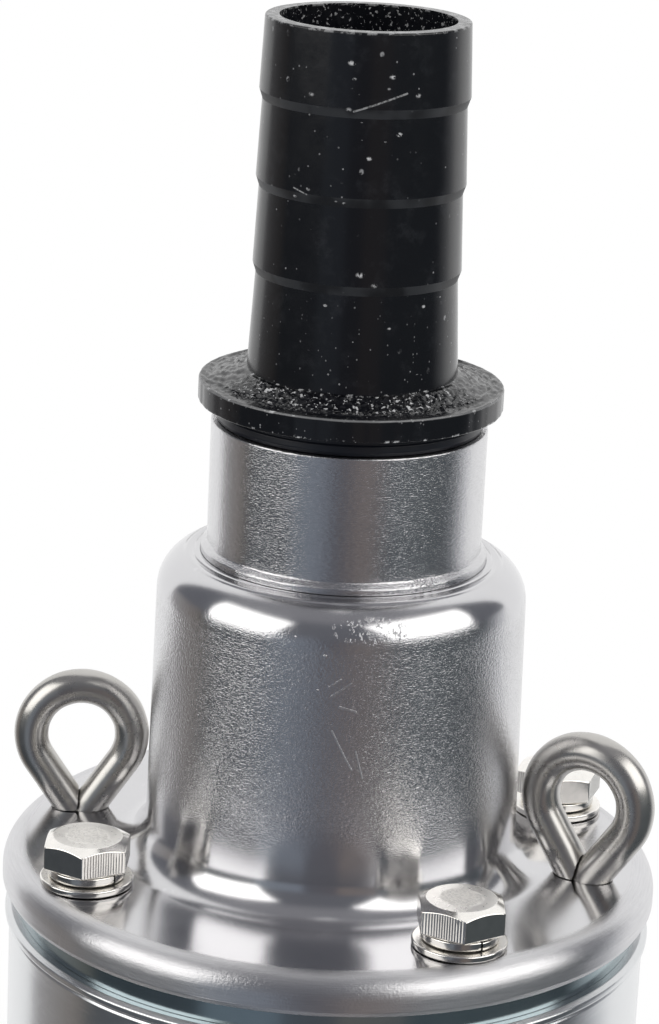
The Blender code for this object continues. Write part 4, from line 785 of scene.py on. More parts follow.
def outletGasket():
    v = gasketValues
    # it fills the hairline gaps above and below it
    low, high, radius = span("outlet_gasket")
    upper, stepH = radius - v["upperInset"], low + v["lowerH"]
    low, high = low - v["squeeze"], high + v["squeeze"]
    corners = [(v["bore"], high, 0.2), (upper, high, 0.3), (upper, stepH + 0.25, 0.1),
               (radius - 0.1, stepH, 0.15), (radius, low + 0.7, 0.4), (radius - 0.25, low, 0.2),
               (v["bore"], low, 0.2)]
    piece = lathe("outletGasket", corners, 192)
    return finishPiece(piece, rubber("gasketRubber", (0.0075, 0.009, 0.014), 0.32),
                       ["outlet_gasket"])


neckValues = {"outerR": 22.1, "bore": 17.0, "bevel": 0.3, "beadH": 1.5, "beadWave": 0.10, "footDrop": 0.25,
              "dent": (13.5, -18.5, 0.6), "dentSize": 2.8}


def dischargeNeck():
    v = neckValues
    low, high, beadR = span("discharge_neck")
    foot = low - v["footDrop"]
    corners = [(v["bore"], high, 0.3), (v["outerR"], high, v["bevel"]),
               (v["outerR"], low + v["beadH"], 0.5), (beadR - 0.15, low + 0.75, 0.5),
               (beadR - 0.1, foot, 0.1), (v["bore"], foot, 0.2)]

    def warp(radius, angle, height):
        if radius > v["outerR"] + 0.1:
            out = Vector((math.cos(angle), math.sin(angle), height * 0.2)) * beadR
            radius += min(0.0, v["beadWave"] * noise.noise(out * 0.25))
        return radius, height

    g = grainedSteel("polishedNeckSteel", 0.70, 0.13, lilacTint, neckSteelValues)
    chips = g.patches(0.52, 0.60, 1100.0, 4.0, 0.7)
    dentX, dentY, dentUp = v["dent"]
    g.bump(chips * g.spot((dentX, dentY, low + dentUp), v["dentSize"], (0.7, 0.7, 1.6)), 0.6, 0.3)
    piece = lathe("dischargeNeck", corners, 256, warp=warp)
    return finishPiece(piece, g.material, ["discharge_neck"])


# Discharge head

headValues = {
    "flangeR": 53.8, "flangeH": 6.3, "rim": 3.9, "footR": 30.6, "capR": 29.8, "wall": 2.6,
    "shoulder": 8.0, "fillet": 5.6, "opening": 17.5, "boltHole": 4.5, "steps": 288,
}


def dischargeHead():
    v = headValues
    low, high = bottom("discharge_head"), top("discharge_head")
    flangeTop = low + v["flangeH"]
    corners = [(v["capR"] - v["wall"], low, 0.3), (v["flangeR"] - 0.5, low, 0.4),
               (v["flangeR"], low + 0.9, 0.7), (v["flangeR"], flangeTop, v["rim"]),
               (v["footR"], flangeTop, v["fillet"]), (v["capR"], high, v["shoulder"]),
               (v["opening"] + 5.6, high, 0.3), (v["opening"] + 5.3, high - 0.25, 0.2),
               (v["opening"], high - 0.25, 0.3), (v["opening"], high - v["wall"], 0.3),
               (v["capR"] - v["wall"], high - v["wall"], v["shoulder"] - v["wall"])]

    def warp(radius, angle, height):
        wave = noise.noise((outward(angle) * radius + upright(height)) * 0.045)
        if radius > v["flangeR"] - 0.01:
            return radius - 0.06 * abs(wave), height
        if flangeTop - 0.01 < height and radius < v["footR"] + 0.1:
            return radius + 0.10 * wave, height
        return radius, height

    piece = lathe("dischargeHead", corners, v["steps"], 12, warp)
    holes = [uprightDrill(bolt, v["boltHole"], low - 1.0, flangeTop + 1.0)
             for bolt in numbered("head_bolt", 4)]
    for node, spot in eyeSpots().items():
        wireR = eyeValues["wireR"][node]
        rings = rodRings(eyePath(flangeTop, wireR)[:eyeValues["pathInFlange"]], wireR + eyeValues["fit"])
        holes.append(shifted(lofted(rings), spot, eyeValues["turnDeg"][node]))
    cutOut(piece, holes)
    return finishPiece(piece, headSteel(), ["discharge_head"])


# Head fasteners

boltValues = {"acrossFlats": 13.0, "crown": 5.5, "crownDeg": 27.0, "shank": 3.95, "steps": 120,
              "headTurnDeg": {1: -85.8, 2: 12.0, 3: 40.0, 4: -31.8}}


def hexScrew(headH, length):
    v = boltValues
    flat = v["acrossFlats"] / 2
    profile = [(0.0, headH), (3.6, headH), (v["crown"], headH - 0.04), (flat, headH), (flat, 0.35),
               (flat - 0.35, 0.0), (v["shank"], 0.0), (v["shank"], -length + 0.8),
               (v["shank"] - 0.8, -length), (0.0, -length)]

    def warp(radius, angle, height):
        if radius > v["crown"] + 0.01:
            radius = radius * hexReach(angle)
            if height > headH - 0.01:
                height = headH - (radius - v["crown"]) * math.tan(math.radians(v["crownDeg"]))
        return radius, height

    return turned(profile, v["steps"], warp)


# A screw whose head sits at the height under
def seatedScrew(name, node, look, under, turnDeg, sharpDeg):
    centre = middle(node)
    piece = addMesh(name, [hexScrew(top(node) - under, under - bottom(node))])
    placed(piece, (centre.x, centre.y, under), turnDeg)
    finishPiece(piece, look, [node], bevel=0.10, sharpDeg=sharpDeg)


def headBolts():
    look = turnedFastener()
    for number, turnDeg in boltValues["headTurnDeg"].items():
        under = top(f"spring_washer_{number}") + 0.15
        seatedScrew(f"headBolt{number}", f"head_bolt_{number}", look, under, turnDeg, 18)
    return look


springWasherValues = {"bore": 4.3, "outer": 6.2, "slitDeg": 3.5, "lift": 0.12, "steps": 72,
                      "splitDeg": {1: -58.0, 2: 60.0, 3: 150.0, 4: -40.0}}
flatWasherValues = {"bore": 4.3, "edge": 0.3}


def washers(look):
    v = springWasherValues
    for number in range(1, 5):
        node = f"flat_washer_{number}"
        low, high, radius = span(node)
        centre = middle(node)
        bore, edge = flatWasherValues["bore"], flatWasherValues["edge"]
        corners = [(bore, high, 0.15), (radius, high, edge), (radius, low, edge), (bore, low, 0.15)]
        ring = shifted(turned(rounded(corners), 96), (centre.x, centre.y, 0.0))
        finishPiece(addMesh(f"flatWasher{number}", [ring]), look, [node])
        node = f"spring_washer_{number}"
        low, high = bottom(node), top(node)
        section = rounded([(v["bore"], high - v["lift"], 0.2), (v["outer"], high - v["lift"], 0.25),
                           (v["outer"], low, 0.25), (v["bore"], low, 0.2)], 3)
        rings = []
        for step in range(v["steps"] + 1):
            share = step / v["steps"]
            out = direction(v["slitDeg"] / 2 + (360.0 - v["slitDeg"]) * share)
            rings.append([out * r + upright(z + v["lift"] * share) for r, z in section])
        ring = shifted(lofted(rings), (centre.x, centre.y, 0.0), v["splitDeg"][number])
        finishPiece(addMesh(f"springWasher{number}", [ring]), look, [node])


# Lifting eyes

eyeValues = {
    "ringR": 8.4, "leanDeg": 34.0, "drop": 1.9, "offset": 0.75, "bend": 2.2,
    "shank": 18.0, "clear": 0.18, "fit": 0.13, "inset": 0.65, "sides": 32, "pathInFlange": 16,
    "bendSteps": 8, "ringSteps": 72, "endBevel": 0.25,
    "wireR": {"lifting_eye_right": 3.1, "lifting_eye_left": 2.85},
    "atDeg": {"lifting_eye_right": -12.0, "lifting_eye_left": 165.0},
    "turnDeg": {"lifting_eye_right": -28.0, "lifting_eye_left": 4.0},
}


# The shanks stand a little inside the circle of the screws
def eyeSpots():
    v = eyeValues
    screw = middle("head_bolt_1")
    circleR = math.hypot(screw.x, screw.y) - v["inset"]
    return {node: direction(degrees) * circleR for node, degrees in v["atDeg"].items()}


# The rod rises from its shank, turns round the ring and comes back beside the shank
def eyePath(flangeTop, wireR):
    v = eyeValues
    lean = math.radians(v["leanDeg"])
    meet = flangeTop - v["drop"]
    ringZ = meet + v["ringR"] / math.sin(lean)
    corner = Vector((v["offset"], meet + v["offset"] / math.tan(lean)))
    start = corner - Vector((0.0, v["bend"]))
    end = corner + Vector((math.sin(lean), math.cos(lean))) * v["bend"]
    path = [Vector((v["offset"], flangeTop - v["shank"])), Vector((v["offset"], flangeTop - 6.0))]
    for step in range(v["bendSteps"] + 1):
        share = step / v["bendSteps"]
        path.append(start.lerp(corner, share).lerp(corner.lerp(end, share), share))
    for step in range(v["ringSteps"] + 1):
        angle = (math.pi + 2 * lean) * step / v["ringSteps"] - lean
        path.append(Vector((math.cos(angle), math.sin(angle))) * v["ringR"] + Vector((0.0, ringZ)))
    reach = (wireR * (1 + math.cos(2 * lean)) + v["clear"]) / math.sin(2 * lean)
    last = Vector((-math.sin(lean), math.cos(lean))) * reach + Vector((0.0, meet))
    before = path[-1]
    path += [before.lerp(last, share) for share in (0.35, 0.7, 0.93, 1.0)]
    return [Vector((point.x - v["offset"], 0.0, point.y)) for point in path]


def rodRings(path, wireR):
    v = eyeValues
    side = Vector((0.0, 1.0, 0.0))
    rings = []
    for index, point in enumerate(path):
        along = (path[min(index + 1, len(path) - 1)] - path[max(index - 1, 0)]).normalized()
        up = along.cross(side)
        radius = wireR + 0.035 * noise.noise(point * 0.4)
        rings.append([point + side * radius * math.cos(tau * step / v["sides"])
                      + up * radius * math.sin(tau * step / v["sides"]) for step in range(v["sides"])])
    return rings


# Slides the end of the rod along itself until it sits round the shank's arm
def saddled(ring, along, flangeTop, wireR, edge):
    v = eyeValues
    lean = math.radians(v["leanDeg"])
    across = Vector((-math.cos(lean), 0.0, math.sin(lean)))
    corner = upright(flangeTop - v["drop"] + v["offset"] / math.tan(lean))
    centre = sum(ring, Vector()) / len(ring)
    moved = []
    for point in ring:
        point = centre + (point - centre) * (1.0 - edge / wireR)
        reach = wireR + v["clear"]
        away = math.sqrt(max(0.0, reach * reach - point.y * point.y))
        if edge == 0.0:
            away += 0.3
        slide = (away - (point - corner).dot(across)) / along.dot(across)
        lowest = (flangeTop + 0.15 - point.z) / along.z
        moved.append(point + along * min(slide, lowest))
    return moved


def liftingEyes():
    v = eyeValues
    flangeTop = bottom("discharge_head") + headValues["flangeH"]
    look = rodSteel()
    for node, spot in eyeSpots().items():
        wireR = v["wireR"][node]
        path = eyePath(flangeTop, wireR)
        rings = rodRings(path, wireR)
        along = (path[-1] - path[-2]).normalized()
        rings[-2] = saddled(rings[-1], along, flangeTop, wireR, 0.0)
        rings[-1] = saddled(rings[-1], along, flangeTop, wireR, v["endBevel"])
        piece = addMesh("liftingEye" + node.split("_")[-1].capitalize(), [lofted(rings)])
        placed(piece, spot, v["turnDeg"][node])
        finishPiece(piece, look, [node], sharpDeg=50)


# Pump body under the head

housingValues = {"bandH": 3.8, "registerR": 49.7, "bore": 36.5, "opening": 22.5, "lipH": 4.0,
                 "hubBore": 9.2, "hubR": 13.0, "hubTop": 1.0, "hubH": 10.5, "arms": 4, "armW": 7.0}


def topBearingHousing():
    v = housingValues
    low, high, radius = span("top_bearing_housing")
    bandLow = high - v["bandH"]
    ring = [(v["opening"], high, 0.3), (radius, high, 0.4), (radius, bandLow, 0.08),
            (v["registerR"], bandLow, 0.0), (v["registerR"], low, 0.4), (v["bore"], low, 0.4),
            (v["bore"], high - v["lipH"], 0.5), (v["opening"], high - v["lipH"], 0.3)]
    hubTop = high - v["hubTop"]
    hub = [(v["hubBore"], hubTop, 0.3), (v["hubR"], hubTop, 0.6), (v["hubR"], hubTop - v["hubH"], 0.6),
           (v["hubBore"], hubTop - v["hubH"], 0.3)]
    half, armLow, armTop = v["armW"] / 2, hubTop - v["hubH"] + 1.0, hubTop - 1.0
    outline = [(-half, armLow), (half, armLow), (half - 1.0, armTop), (-half + 1.0, armTop)]
    arms = spokes(outline, v["arms"], v["hubR"] - 0.5, v["bore"] + 0.5)
    # the teal tint of its colour is a painted reflection; the polish itself is real
    g = Graph("polishedBandTealReflection", (0.42, 0.50, 0.52), 0.16, 1.0, Anisotropic=0.4, Anisotropic_Rotation=0.25)
    g.roundTangent()
    clouds = g.grain(120.0, 3.0)
    g.colour(g.mix(clouds, (0.30, 0.38, 0.40, 1.0), (0.46, 0.53, 0.55, 1.0)))
    g.rough(clouds * 0.12 + 0.10)
    g.bump(g.roundGrain(10.0, 2.5), 0.05, 0.05)
    piece = addMesh("topBearingHousing", [turned(rounded(ring), 224), turned(rounded(hub), 64), *arms])
    return finishPiece(piece, g.material, ["top_bearing_housing"])


barrelValues = {"wallR": 52.6, "wall": 2.1, "beadH": 2.4, "groove": 0.35, "lift": 0.27}


def pumpBarrel():
    v = barrelValues
    low, high, beadR = span("pump_barrel")
    high += v["lift"]
    inner = v["wallR"] - v["wall"]
    beadLow = high - v["beadH"]
    corners = [(inner, high, 0.05), (v["wallR"] - 0.2, high, 0.4), (beadR, high - 0.55, 0.45),
               (beadR, beadLow + 0.95, 0.4), (v["wallR"] - v["groove"], beadLow + 0.45, 0.3),
               (v["wallR"] + 0.05, beadLow - 0.1, 0.3), (v["wallR"], beadLow - 2.2, 0.6),
               (v["wallR"], low, 0.5), (inner, low, 0.3)]
    g = grainedSteel("drawnBarrelSteel", 0.78, 0.20, grain=0.8)
    piece = lathe("pumpBarrel", corners, 256)
    return finishPiece(piece, g.material, ["pump_barrel"])


bracketValues = {
    "registerR": 49.7, "shoulderR": 52.6, "seatR": 49.0, "lipR": 51.5, "waistR": 28.5, "footR": 47.5,
    "footH": 8.0, "waistH": 12.5, "lipH": 4.0, "seatH": 36.0, "shoulderH": 5.7, "chamberR": 44.5,
    "floor": 3.0, "roof": 5.4, "eye": 21.7, "bore": 13.5, "pocketR": 19.5, "pocketH": 9.0,
    "windows": 6, "windowDeg": 38.0, "margin": 4.5, "boltHole": 4.5, "notch": 8.6,
}


def bracketLevels():
    v = bracketValues
    foot = bottom("suction_bracket")
    lipLow = foot + v["footH"] + v["waistH"]
    lipTop = lipLow + v["lipH"]
    return foot, lipLow, lipTop, lipTop + v["seatH"]


def suctionBracket(look):
    v = bracketValues
    foot, lipLow, lipTop, shoulder = bracketLevels()
    high = top("suction_bracket")
    shoulderTop = shoulder + v["shoulderH"]
    pocket = foot + v["pocketH"]
    corners = [(v["eye"], high, 0.4), (v["registerR"], high, 0.6), (v["registerR"], shoulderTop, 0.3),
               (v["shoulderR"], shoulderTop, 0.5), (v["shoulderR"], shoulder, 0.8),
               (v["seatR"], shoulder, 0.3), (v["seatR"], lipTop, 0.3),
               (v["lipR"], lipTop, 0.6), (v["lipR"], lipLow, 0.9),
               (v["waistR"], lipLow - 3.0, 3.5), (v["waistR"], foot + v["footH"], 2.2),
               (v["footR"], foot + v["footH"], 0.8), (v["footR"], foot, 0.5), (v["pocketR"], foot, 0.4),
               (v["pocketR"], pocket, 0.4), (v["bore"], pocket, 0.4), (v["bore"], lipLow + v["floor"], 0.4),
               (v["chamberR"], lipLow + v["floor"], 1.2), (v["chamberR"], high - v["roof"], 1.2),
               (v["eye"], high - v["roof"], 0.4)]
    piece = lathe("suctionBracket", corners, 168, 4)
    half = math.radians(v["windowDeg"] / 2) * v["seatR"]
    outline = window(half, lipTop + v["margin"], shoulder - v["margin"], 3.0, 4)
    cuts = spokes(outline, v["windows"], v["chamberR"] - 6.0, v["seatR"] + 5.0)
    cuts += [uprightDrill(bolt, v["boltHole"], foot - 1.0, foot + 9.0)
             for bolt in numbered("bracket_bolt", 4)]
    gland = middle("cable_gland")
    half = v["notch"]
    outline = rounded([(gland.x - half, gland.y - half, 2.5), (gland.x + half, gland.y - half, 2.5),
                       (gland.x + half, v["footR"] + 2.0, 0.0), (gland.x - half, v["footR"] + 2.0, 0.0)], 5)
    cuts.append(prism(outline, foot - 1.0, foot + v["footH"] + 0.9))
    cutOut(piece, cuts)
    return finishPiece(piece, look, ["suction_bracket"])


strainerValues = {"wall": 1.1, "slots": 24, "slotW": 4.7, "endH": 4.5, "firstShare": 0.18}


def suctionStrainer():
    v = strainerValues
    low, high, outer = span("suction_strainer")
    inner = outer - v["wall"]
    corners = [(inner, high, 0.2), (outer, high, 0.35), (outer, low, 0.35), (inner, low, 0.2)]
    piece = lathe("suctionStrainer", corners, 192, 3)
    half = v["slotW"] / 2
    outline = window(half, low + v["endH"], high - v["endH"], half, 6)
    first = 360.0 / v["slots"] * v["firstShare"]
    cutOut(piece, spokes(outline, v["slots"], inner - 2.0, outer + 2.0, first))
    g = grainedSteel("strainerSteel", 0.74, 0.24, grain=0.6)
    return finishPiece(piece, g.material, ["suction_strainer"])


def bracketBolts(look):
    under = bracketLevels()[0] + bracketValues["footH"] + 0.3
    for number in range(1, 5):
        seatedScrew(f"bracketBolt{number}", f"bracket_bolt_{number}", look, under, 90.0 * number - 45.0, 32)


glandValues = {"acrossFlats": 13.0, "hexH": 9.0, "collarR": 6.0, "bore": 3.6, "spigotR": 5.0, "spigotH": 6.0}


def cableGland(look):
    v = glandValues
    low, high, centre = bottom("cable_gland"), top("cable_gland"), middle("cable_gland")
    seat = low + v["spigotH"]
    flat = v["acrossFlats"] / 2
    hexTop = seat + v["hexH"]
    profile = [(v["bore"], high), (v["bore"] + 1.2, high), (v["collarR"] - 0.5, high - 0.4),
               (v["collarR"], high - 1.2), (v["collarR"], hexTop), (flat, hexTop), (flat, seat),
               (v["spigotR"], seat), (v["spigotR"], low), (0.0, low), (0.0, seat - 3.0),
               (v["bore"], seat - 3.0)]

    def warp(radius, angle, height):
        if radius > v["collarR"] + 0.1:
            corner = radius * hexReach(angle)
            if height > hexTop - 0.01:
                height -= (corner - radius) * 0.6
            return corner, height
        return radius, height

    piece = addMesh("cableGland", [shifted(turned(profile, 96, warp), (centre.x, centre.y, 0.0), 7.0)])
    return finishPiece(piece, look, ["cable_gland"], bevel=0.12)


# Motor

motorValues = {"shellWall": 1.9, "pocketR": 17.0, "pocketH": 13.0, "fitR": 45.4, "flangeH": 9.7,
               "bearingR": 17.8, "bearingH": 10.3, "throatR": 9.5, "boltHole": 4.5, "glandHole": 5.3,
               "plugHole": 3.3, "screwHole": 2.8, "drillH": 14.0}


def motorUpperBracket(look):
    v = motorValues
    low, high, radius = span("motor_upper_bracket")
    flange = high - v["flangeH"]
    bearingTop, pocket = low + v["bearingH"], high - v["pocketH"]
    corners = [(v["pocketR"], high, 0.4), (radius, high, 0.7), (radius, flange, 0.5),
               (v["fitR"], flange, 0.2), (v["fitR"], low, 0.8), (v["bearingR"], low, 0.4),
               (v["bearingR"], bearingTop, 0.3), (v["throatR"], bearingTop, 0.3),
               (v["throatR"], pocket, 0.3), (v["pocketR"], pocket, 0.5)]
    piece = lathe("motorUpperBracket", corners, 168, 4)
    holes = [uprightDrill(bolt, v["boltHole"], high - v["drillH"], high + 1.0)
             for bolt in numbered("bracket_bolt", 4)]
    holes.append(uprightDrill("cable_gland", v["glandHole"], high - v["drillH"], high + 1.0))
    holes.append(radialDrill("fill_plug", v["plugHole"], radius + 2.0, radius - 9.0))
    cutOut(piece, holes)
    return finishPiece(piece, look, ["motor_upper_bracket"])


def motorShell():
    v = motorValues
    low, high, radius = span("motor_shell")
    inner = radius - v["shellWall"]
    # rolled in at both ends where it is pressed on the brackets
    corners = [(inner, high, 0.2), (radius - 0.35, high, 0.4), (radius - 0.35, high - 3.2, 0.5),
               (radius, high - 4.2, 0.8), (radius, low + 19.2, 0.8), (radius, low, 0.5), (inner, low, 0.2)]
    piece = lathe("motorShell", corners, 256)
    cutOut(piece, [radialDrill(screw, v["screwHole"], radius + 2.0, inner - 3.0)
                   for screw in numbered("base_screw", 3)])
    g = grainedSteel("drawnShellSteel", 0.76, 0.22, grain=0.9)
    return finishPiece(piece, g.material, ["motor_shell"])


# Round-headed screws lying along a radius, each with a cross or a slot
screwValues = {"slotW": 1.0, "slotDepth": 0.9, "seatGap": 0.3, "length": 8.0, "cross": 0.62, "slot": 1.2}
plugValues = {"headR": 3.9, "headH": 1.8, "shankR": 3.0, "surfaceR": 47.5, "isCross": False}
baseScrewValues = {"headR": 4.4, "headH": 1.6, "shankR": 2.5, "surfaceR": 48.0, "isCross": True}


def radialScrew(name, node, look, headR, headH, shankR, surfaceR, isCross):
    v = screwValues
    spot, degrees = middle(node), bearing(node)
    low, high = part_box(node)
    reach = max(math.hypot(p.x, p.y) for p in (low, high)) / mm
    seat = surfaceR + v["seatGap"]
    tip = seat - v["length"]
    corners = [(0.0, seat + headH, 0.0), (headR, seat + headH, headH * 0.8), (headR, seat, 0.2),
               (shankR, seat, 0.0), (shankR, tip, 0.4), (0.0, tip, 0.0)]
    piece = addMesh(name, [radialTurned(rounded(corners), degrees, spot.z, 48)])
    half, long = v["slotW"] / 2, headR * v["cross" if isCross else "slot"]
    for wide, tall in ((long, half), (half, long))[:2 if isCross else 1]:
        low, high = spot.z - tall, spot.z + tall
        outline = [(-wide, low), (wide, low), (wide, high), (-wide, high)]
        cutOut(piece, [radialPrism(outline, degrees, seat + headH - v["slotDepth"], reach + 3.0)])
    return finishPiece(piece, look, [node])


baseValues = {"flangeH": 9.0, "wellR": 37.2, "recessR": 36.0, "recessH": 6.0, "floorH": 3.0, "ventR": 2.6,
              "ventAt": 24.0, "vents": 6, "ventFirstDeg": 10.0}


def motorBase(look):
    v = baseValues
    low, high, radius = span("motor_base")
    fit = motorValues["fitR"]
    flange, recess = low + v["flangeH"], low + v["recessH"]
    floor = recess + v["floorH"]
    corners = [(v["wellR"], high, 0.3), (fit, high, 0.5), (fit, flange, 0.2), (radius, flange, 0.4),
               (radius, low, 2.2), (v["recessR"], low, 0.6), (v["recessR"] - 3.0, recess, 1.0),
               (0.0, recess, 0.0), (0.0, floor, 0.0), (v["wellR"], floor, 0.6)]
    piece = lathe("motorBase", corners, 168, 4)
    cuts = [prism(circle(direction(v["ventFirstDeg"] + 60.0 * index) * v["ventAt"], v["ventR"], 24),
                  v["recessH"] - 1.0, v["recessH"] + v["floorH"] + 1.0) for index in range(v["vents"])]
    cuts += [radialDrill(screw, motorValues["screwHole"], radius + 2.0, radius - 9.0)
             for screw in numbered("base_screw", 3)]
    cutOut(piece, cuts)
    return finishPiece(piece, look, ["motor_base"])


# Turning parts that show through the strainer

couplingValues = {"bore": 7.3, "bevel": 1.0}
shaftValues = {"pumpNarrow": 6.2, "pumpStep": 12.0, "motorNarrow": 7.0, "motorStep": 1.0}


def couplingAndShafts():
    low, high, radius = span("shaft_coupling")
    bore, bevel = couplingValues["bore"], couplingValues["bevel"]
    corners = [(bore, high, 0.3), (radius, high, bevel), (radius, low, bevel), (bore, low, 0.3)]
    g = grainedSteel("turnedShaftSteel", 0.66, 0.26, grain=0.8)
    piece = lathe("shaftCoupling", corners, 96)
    finishPiece(piece, g.material, ["shaft_coupling"], body="rotor")
    v = shaftValues
    for name, node, narrow, step in (
            ("pumpShaft", "pump_shaft", v["pumpNarrow"], top("pump_shaft") - v["pumpStep"]),
            ("motorShaft", "motor_shaft", v["motorNarrow"], bottom("shaft_coupling") - v["motorStep"])):
        low, high, radius = span(node)
        corners = [(0.0, high, 0.0), (narrow, high, 0.6), (narrow, step, 0.2), (radius, step, 0.4),
                   (radius, low, 0.6), (0.0, low, 0.0)]
        piece = lathe(name, corners, 80)
        finishPiece(piece, g.material, [node], body="rotor")


# The check valve's spring, wound evenly between its ends
springValues = {"wire": 0.6, "coilR": 5.2, "turns": 4.5, "lift": 7.0, "steps": 180, "sides": 10}


def valveSpring(look):
    v = springValues
    low, high = bottom("valve_spring") + v["wire"], top("valve_spring") - v["wire"]
    section = circle((0.0, 0.0), v["wire"], v["sides"])
    rings = []
    for step in range(v["steps"] + 1):
        share = step / v["steps"]
        out = direction(360.0 * v["turns"] * share)
        height = low + (high - low) * share
        rings.append([out * (v["coilR"] + across) + upright(height + up) for across, up in section])
    piece = addMesh("valveSpring", [lofted(rings)])
    finishPiece(piece, look, ["valve_spring"], sharpDeg=60)
    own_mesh(piece)


# Inner parts keep their solids and take a finish
def innerParts():
    looks = {
        "bearing_bronze": plainLook("bearingBronze", (0.50, 0.32, 0.15), 0.35, 1.0, 500.0),
        "stage_plastic": plainLook("stagePlastic", (0.70, 0.69, 0.63), 0.42, 0.0, 350.0),
        "core_steel": plainLook("coreSteel", (0.22, 0.22, 0.23), 0.5, 1.0, 600.0),
        "copper_winding": plainLook("copperWinding", (0.55, 0.24, 0.11), 0.38, 1.0, 900.0),
        "seal_ceramic": plainLook("sealCeramic", (0.76, 0.74, 0.70), 0.3, 0.0, 400.0),
        "bearing_steel": plainLook("bearingSteel", (0.60, 0.60, 0.61), 0.2, 1.0, 500.0),
        "black_rubber": rubber("innerRubber"),
        "cast_stainless": castSteel("innerCastSteel"),
        "brushed_stainless": grainedSteel("innerTurnedSteel", 0.66, 0.26).material,
    }
    slots = {row["node"]: row["material_slot"] for row in frame["record"]["subparts"]}
    for name, node in frame["nodes"].items():
        if node.hide_render:
            continue
        node.data.materials.clear()
        node.data.materials.append(looks[slots[name]])
        node.data.shade_smooth()
        node.data.set_sharp_from_angle(angle=math.radians(35))


# Studio: white all round, two softboxes ahead, and dark cards that only the metal mirrors

studioValues = {
    "fill": 0.36, "fillTint": (0.93, 0.96, 1.0), "softboxBright": 2.0, "softboxTint": (1.0, 0.985, 0.955),
    "softboxAway": 0.85, "softboxTarget": 0.43,
}

# Each softbox: middle by azimuth from straight ahead and elevation, then half its width and height, degrees
softboxAngles = {"softboxLeft": (-63.0, 26.0, 26.0, 21.0), "softboxRight": (60.0, 34.0, 34.0, 22.0)}


def emptyMaterial(name):
    material = bpy.data.materials.new(name)
    material.use_nodes = True
    material.node_tree.nodes.remove(material.node_tree.nodes["Principled BSDF"])
    return material, Nodes(material.node_tree)


def whiteForMirrors(g, plain, white):
    seen = g.add("LightPath", "Is Camera Ray")
    seen = seen | seen.sibling("Is Glossy Ray") | seen.sibling("Is Transmission Ray")
    return g.add("MixShader", 0, {0: seen, 1: plain, 2: white})


def studioWorld():
    world = bpy.data.worlds.new("studio")
    bpy.context.scene.world = world
    world.use_nodes = True
    g = Nodes(world.node_tree)
    fill = g.tree.nodes["Background"]
    fill.inputs["Color"].default_value = (*studioValues["fillTint"], 1.0)
    fill.inputs["Strength"].default_value = studioValues["fill"]
    white = g.add("Background", 0, {"Color": (1.0, 1.0, 1.0, 1.0), "Strength": 1.0})
    g.show("World Output", whiteForMirrors(g, Signal(g, fill.outputs[0]), white))


floorValues = {"half": 6.0, "near": 0.62, "nearR": 0.30, "farR": 0.85, "colour": (0.88, 0.89, 0.90, 1.0)}


def paleFloor():
    v = floorValues
    half = v["half"]
    data = bpy.data.meshes.new("floor")
    corners = [(-half, -half, 0), (half, -half, 0), (half, half, 0), (-half, half, 0)]
    data.from_pydata(corners, [], [(0, 1, 2, 3)])
    floor = linked("floor", data)
    material, g = emptyMaterial("paleFloor")
    matt = g.add("BsdfDiffuse", 0, {"Color": v["colour"]})
    glow = g.add("Emission", 0, {"Strength": 1.0})
    # shadows stay near the object, and the floor runs out into white
    away = g.vector("LENGTH", g.add("TexCoord", "Object"))
    share = g.add("MapRange", 0, {"Value": away, "From Min": v["nearR"], "From Max": v["farR"],
                                  "To Min": v["near"]}, interpolation_type="SMOOTHSTEP")
    part = g.add("MixShader", 0, {0: share, 1: matt, 2: glow})
    g.show("Material Output", whiteForMirrors(g, matt, part))
    data.materials.append(material)


# The cards' section by radius and height in metres, and two changes of tone up it: from, to, tone
cardValues = {
    "section": ((0.10, 0.002), (1.20, 0.002), (1.20, 0.62), (1.20, 1.20), (0.984, 1.50), (0.55, 1.66),
                (0.05, 1.70)),
    "climbs": ((0.59, 0.67, (0.15, 0.155, 0.175, 1.0)), (1.45, 1.62, (0.26, 0.26, 0.28, 1.0))),
    "steps": 72,
}

# Tones of the cards by the angle from straight ahead, in degrees
cardTones = ((-126, (0.42, 0.41, 0.42)), (-118, (0.34, 0.33, 0.33)), (-94, (0.20, 0.18, 0.165)),
             (-88, (0.075, 0.085, 0.095)), (-46, (0.085, 0.095, 0.11)), (-40, (0.22, 0.25, 0.29)),
             (-16, (0.22, 0.245, 0.29)), (-12, (0.12, 0.125, 0.145)), (4, (0.13, 0.125, 0.14)),
             (8, (0.22, 0.19, 0.18)), (27, (0.20, 0.18, 0.18)), (33, (0.11, 0.125, 0.14)),
             (70, (0.10, 0.115, 0.125)), (98, (0.08, 0.09, 0.10)), (106, (0.36, 0.37, 0.39)),
             (116, (0.72, 0.73, 0.75)), (122, (1.0, 1.0, 1.0)))


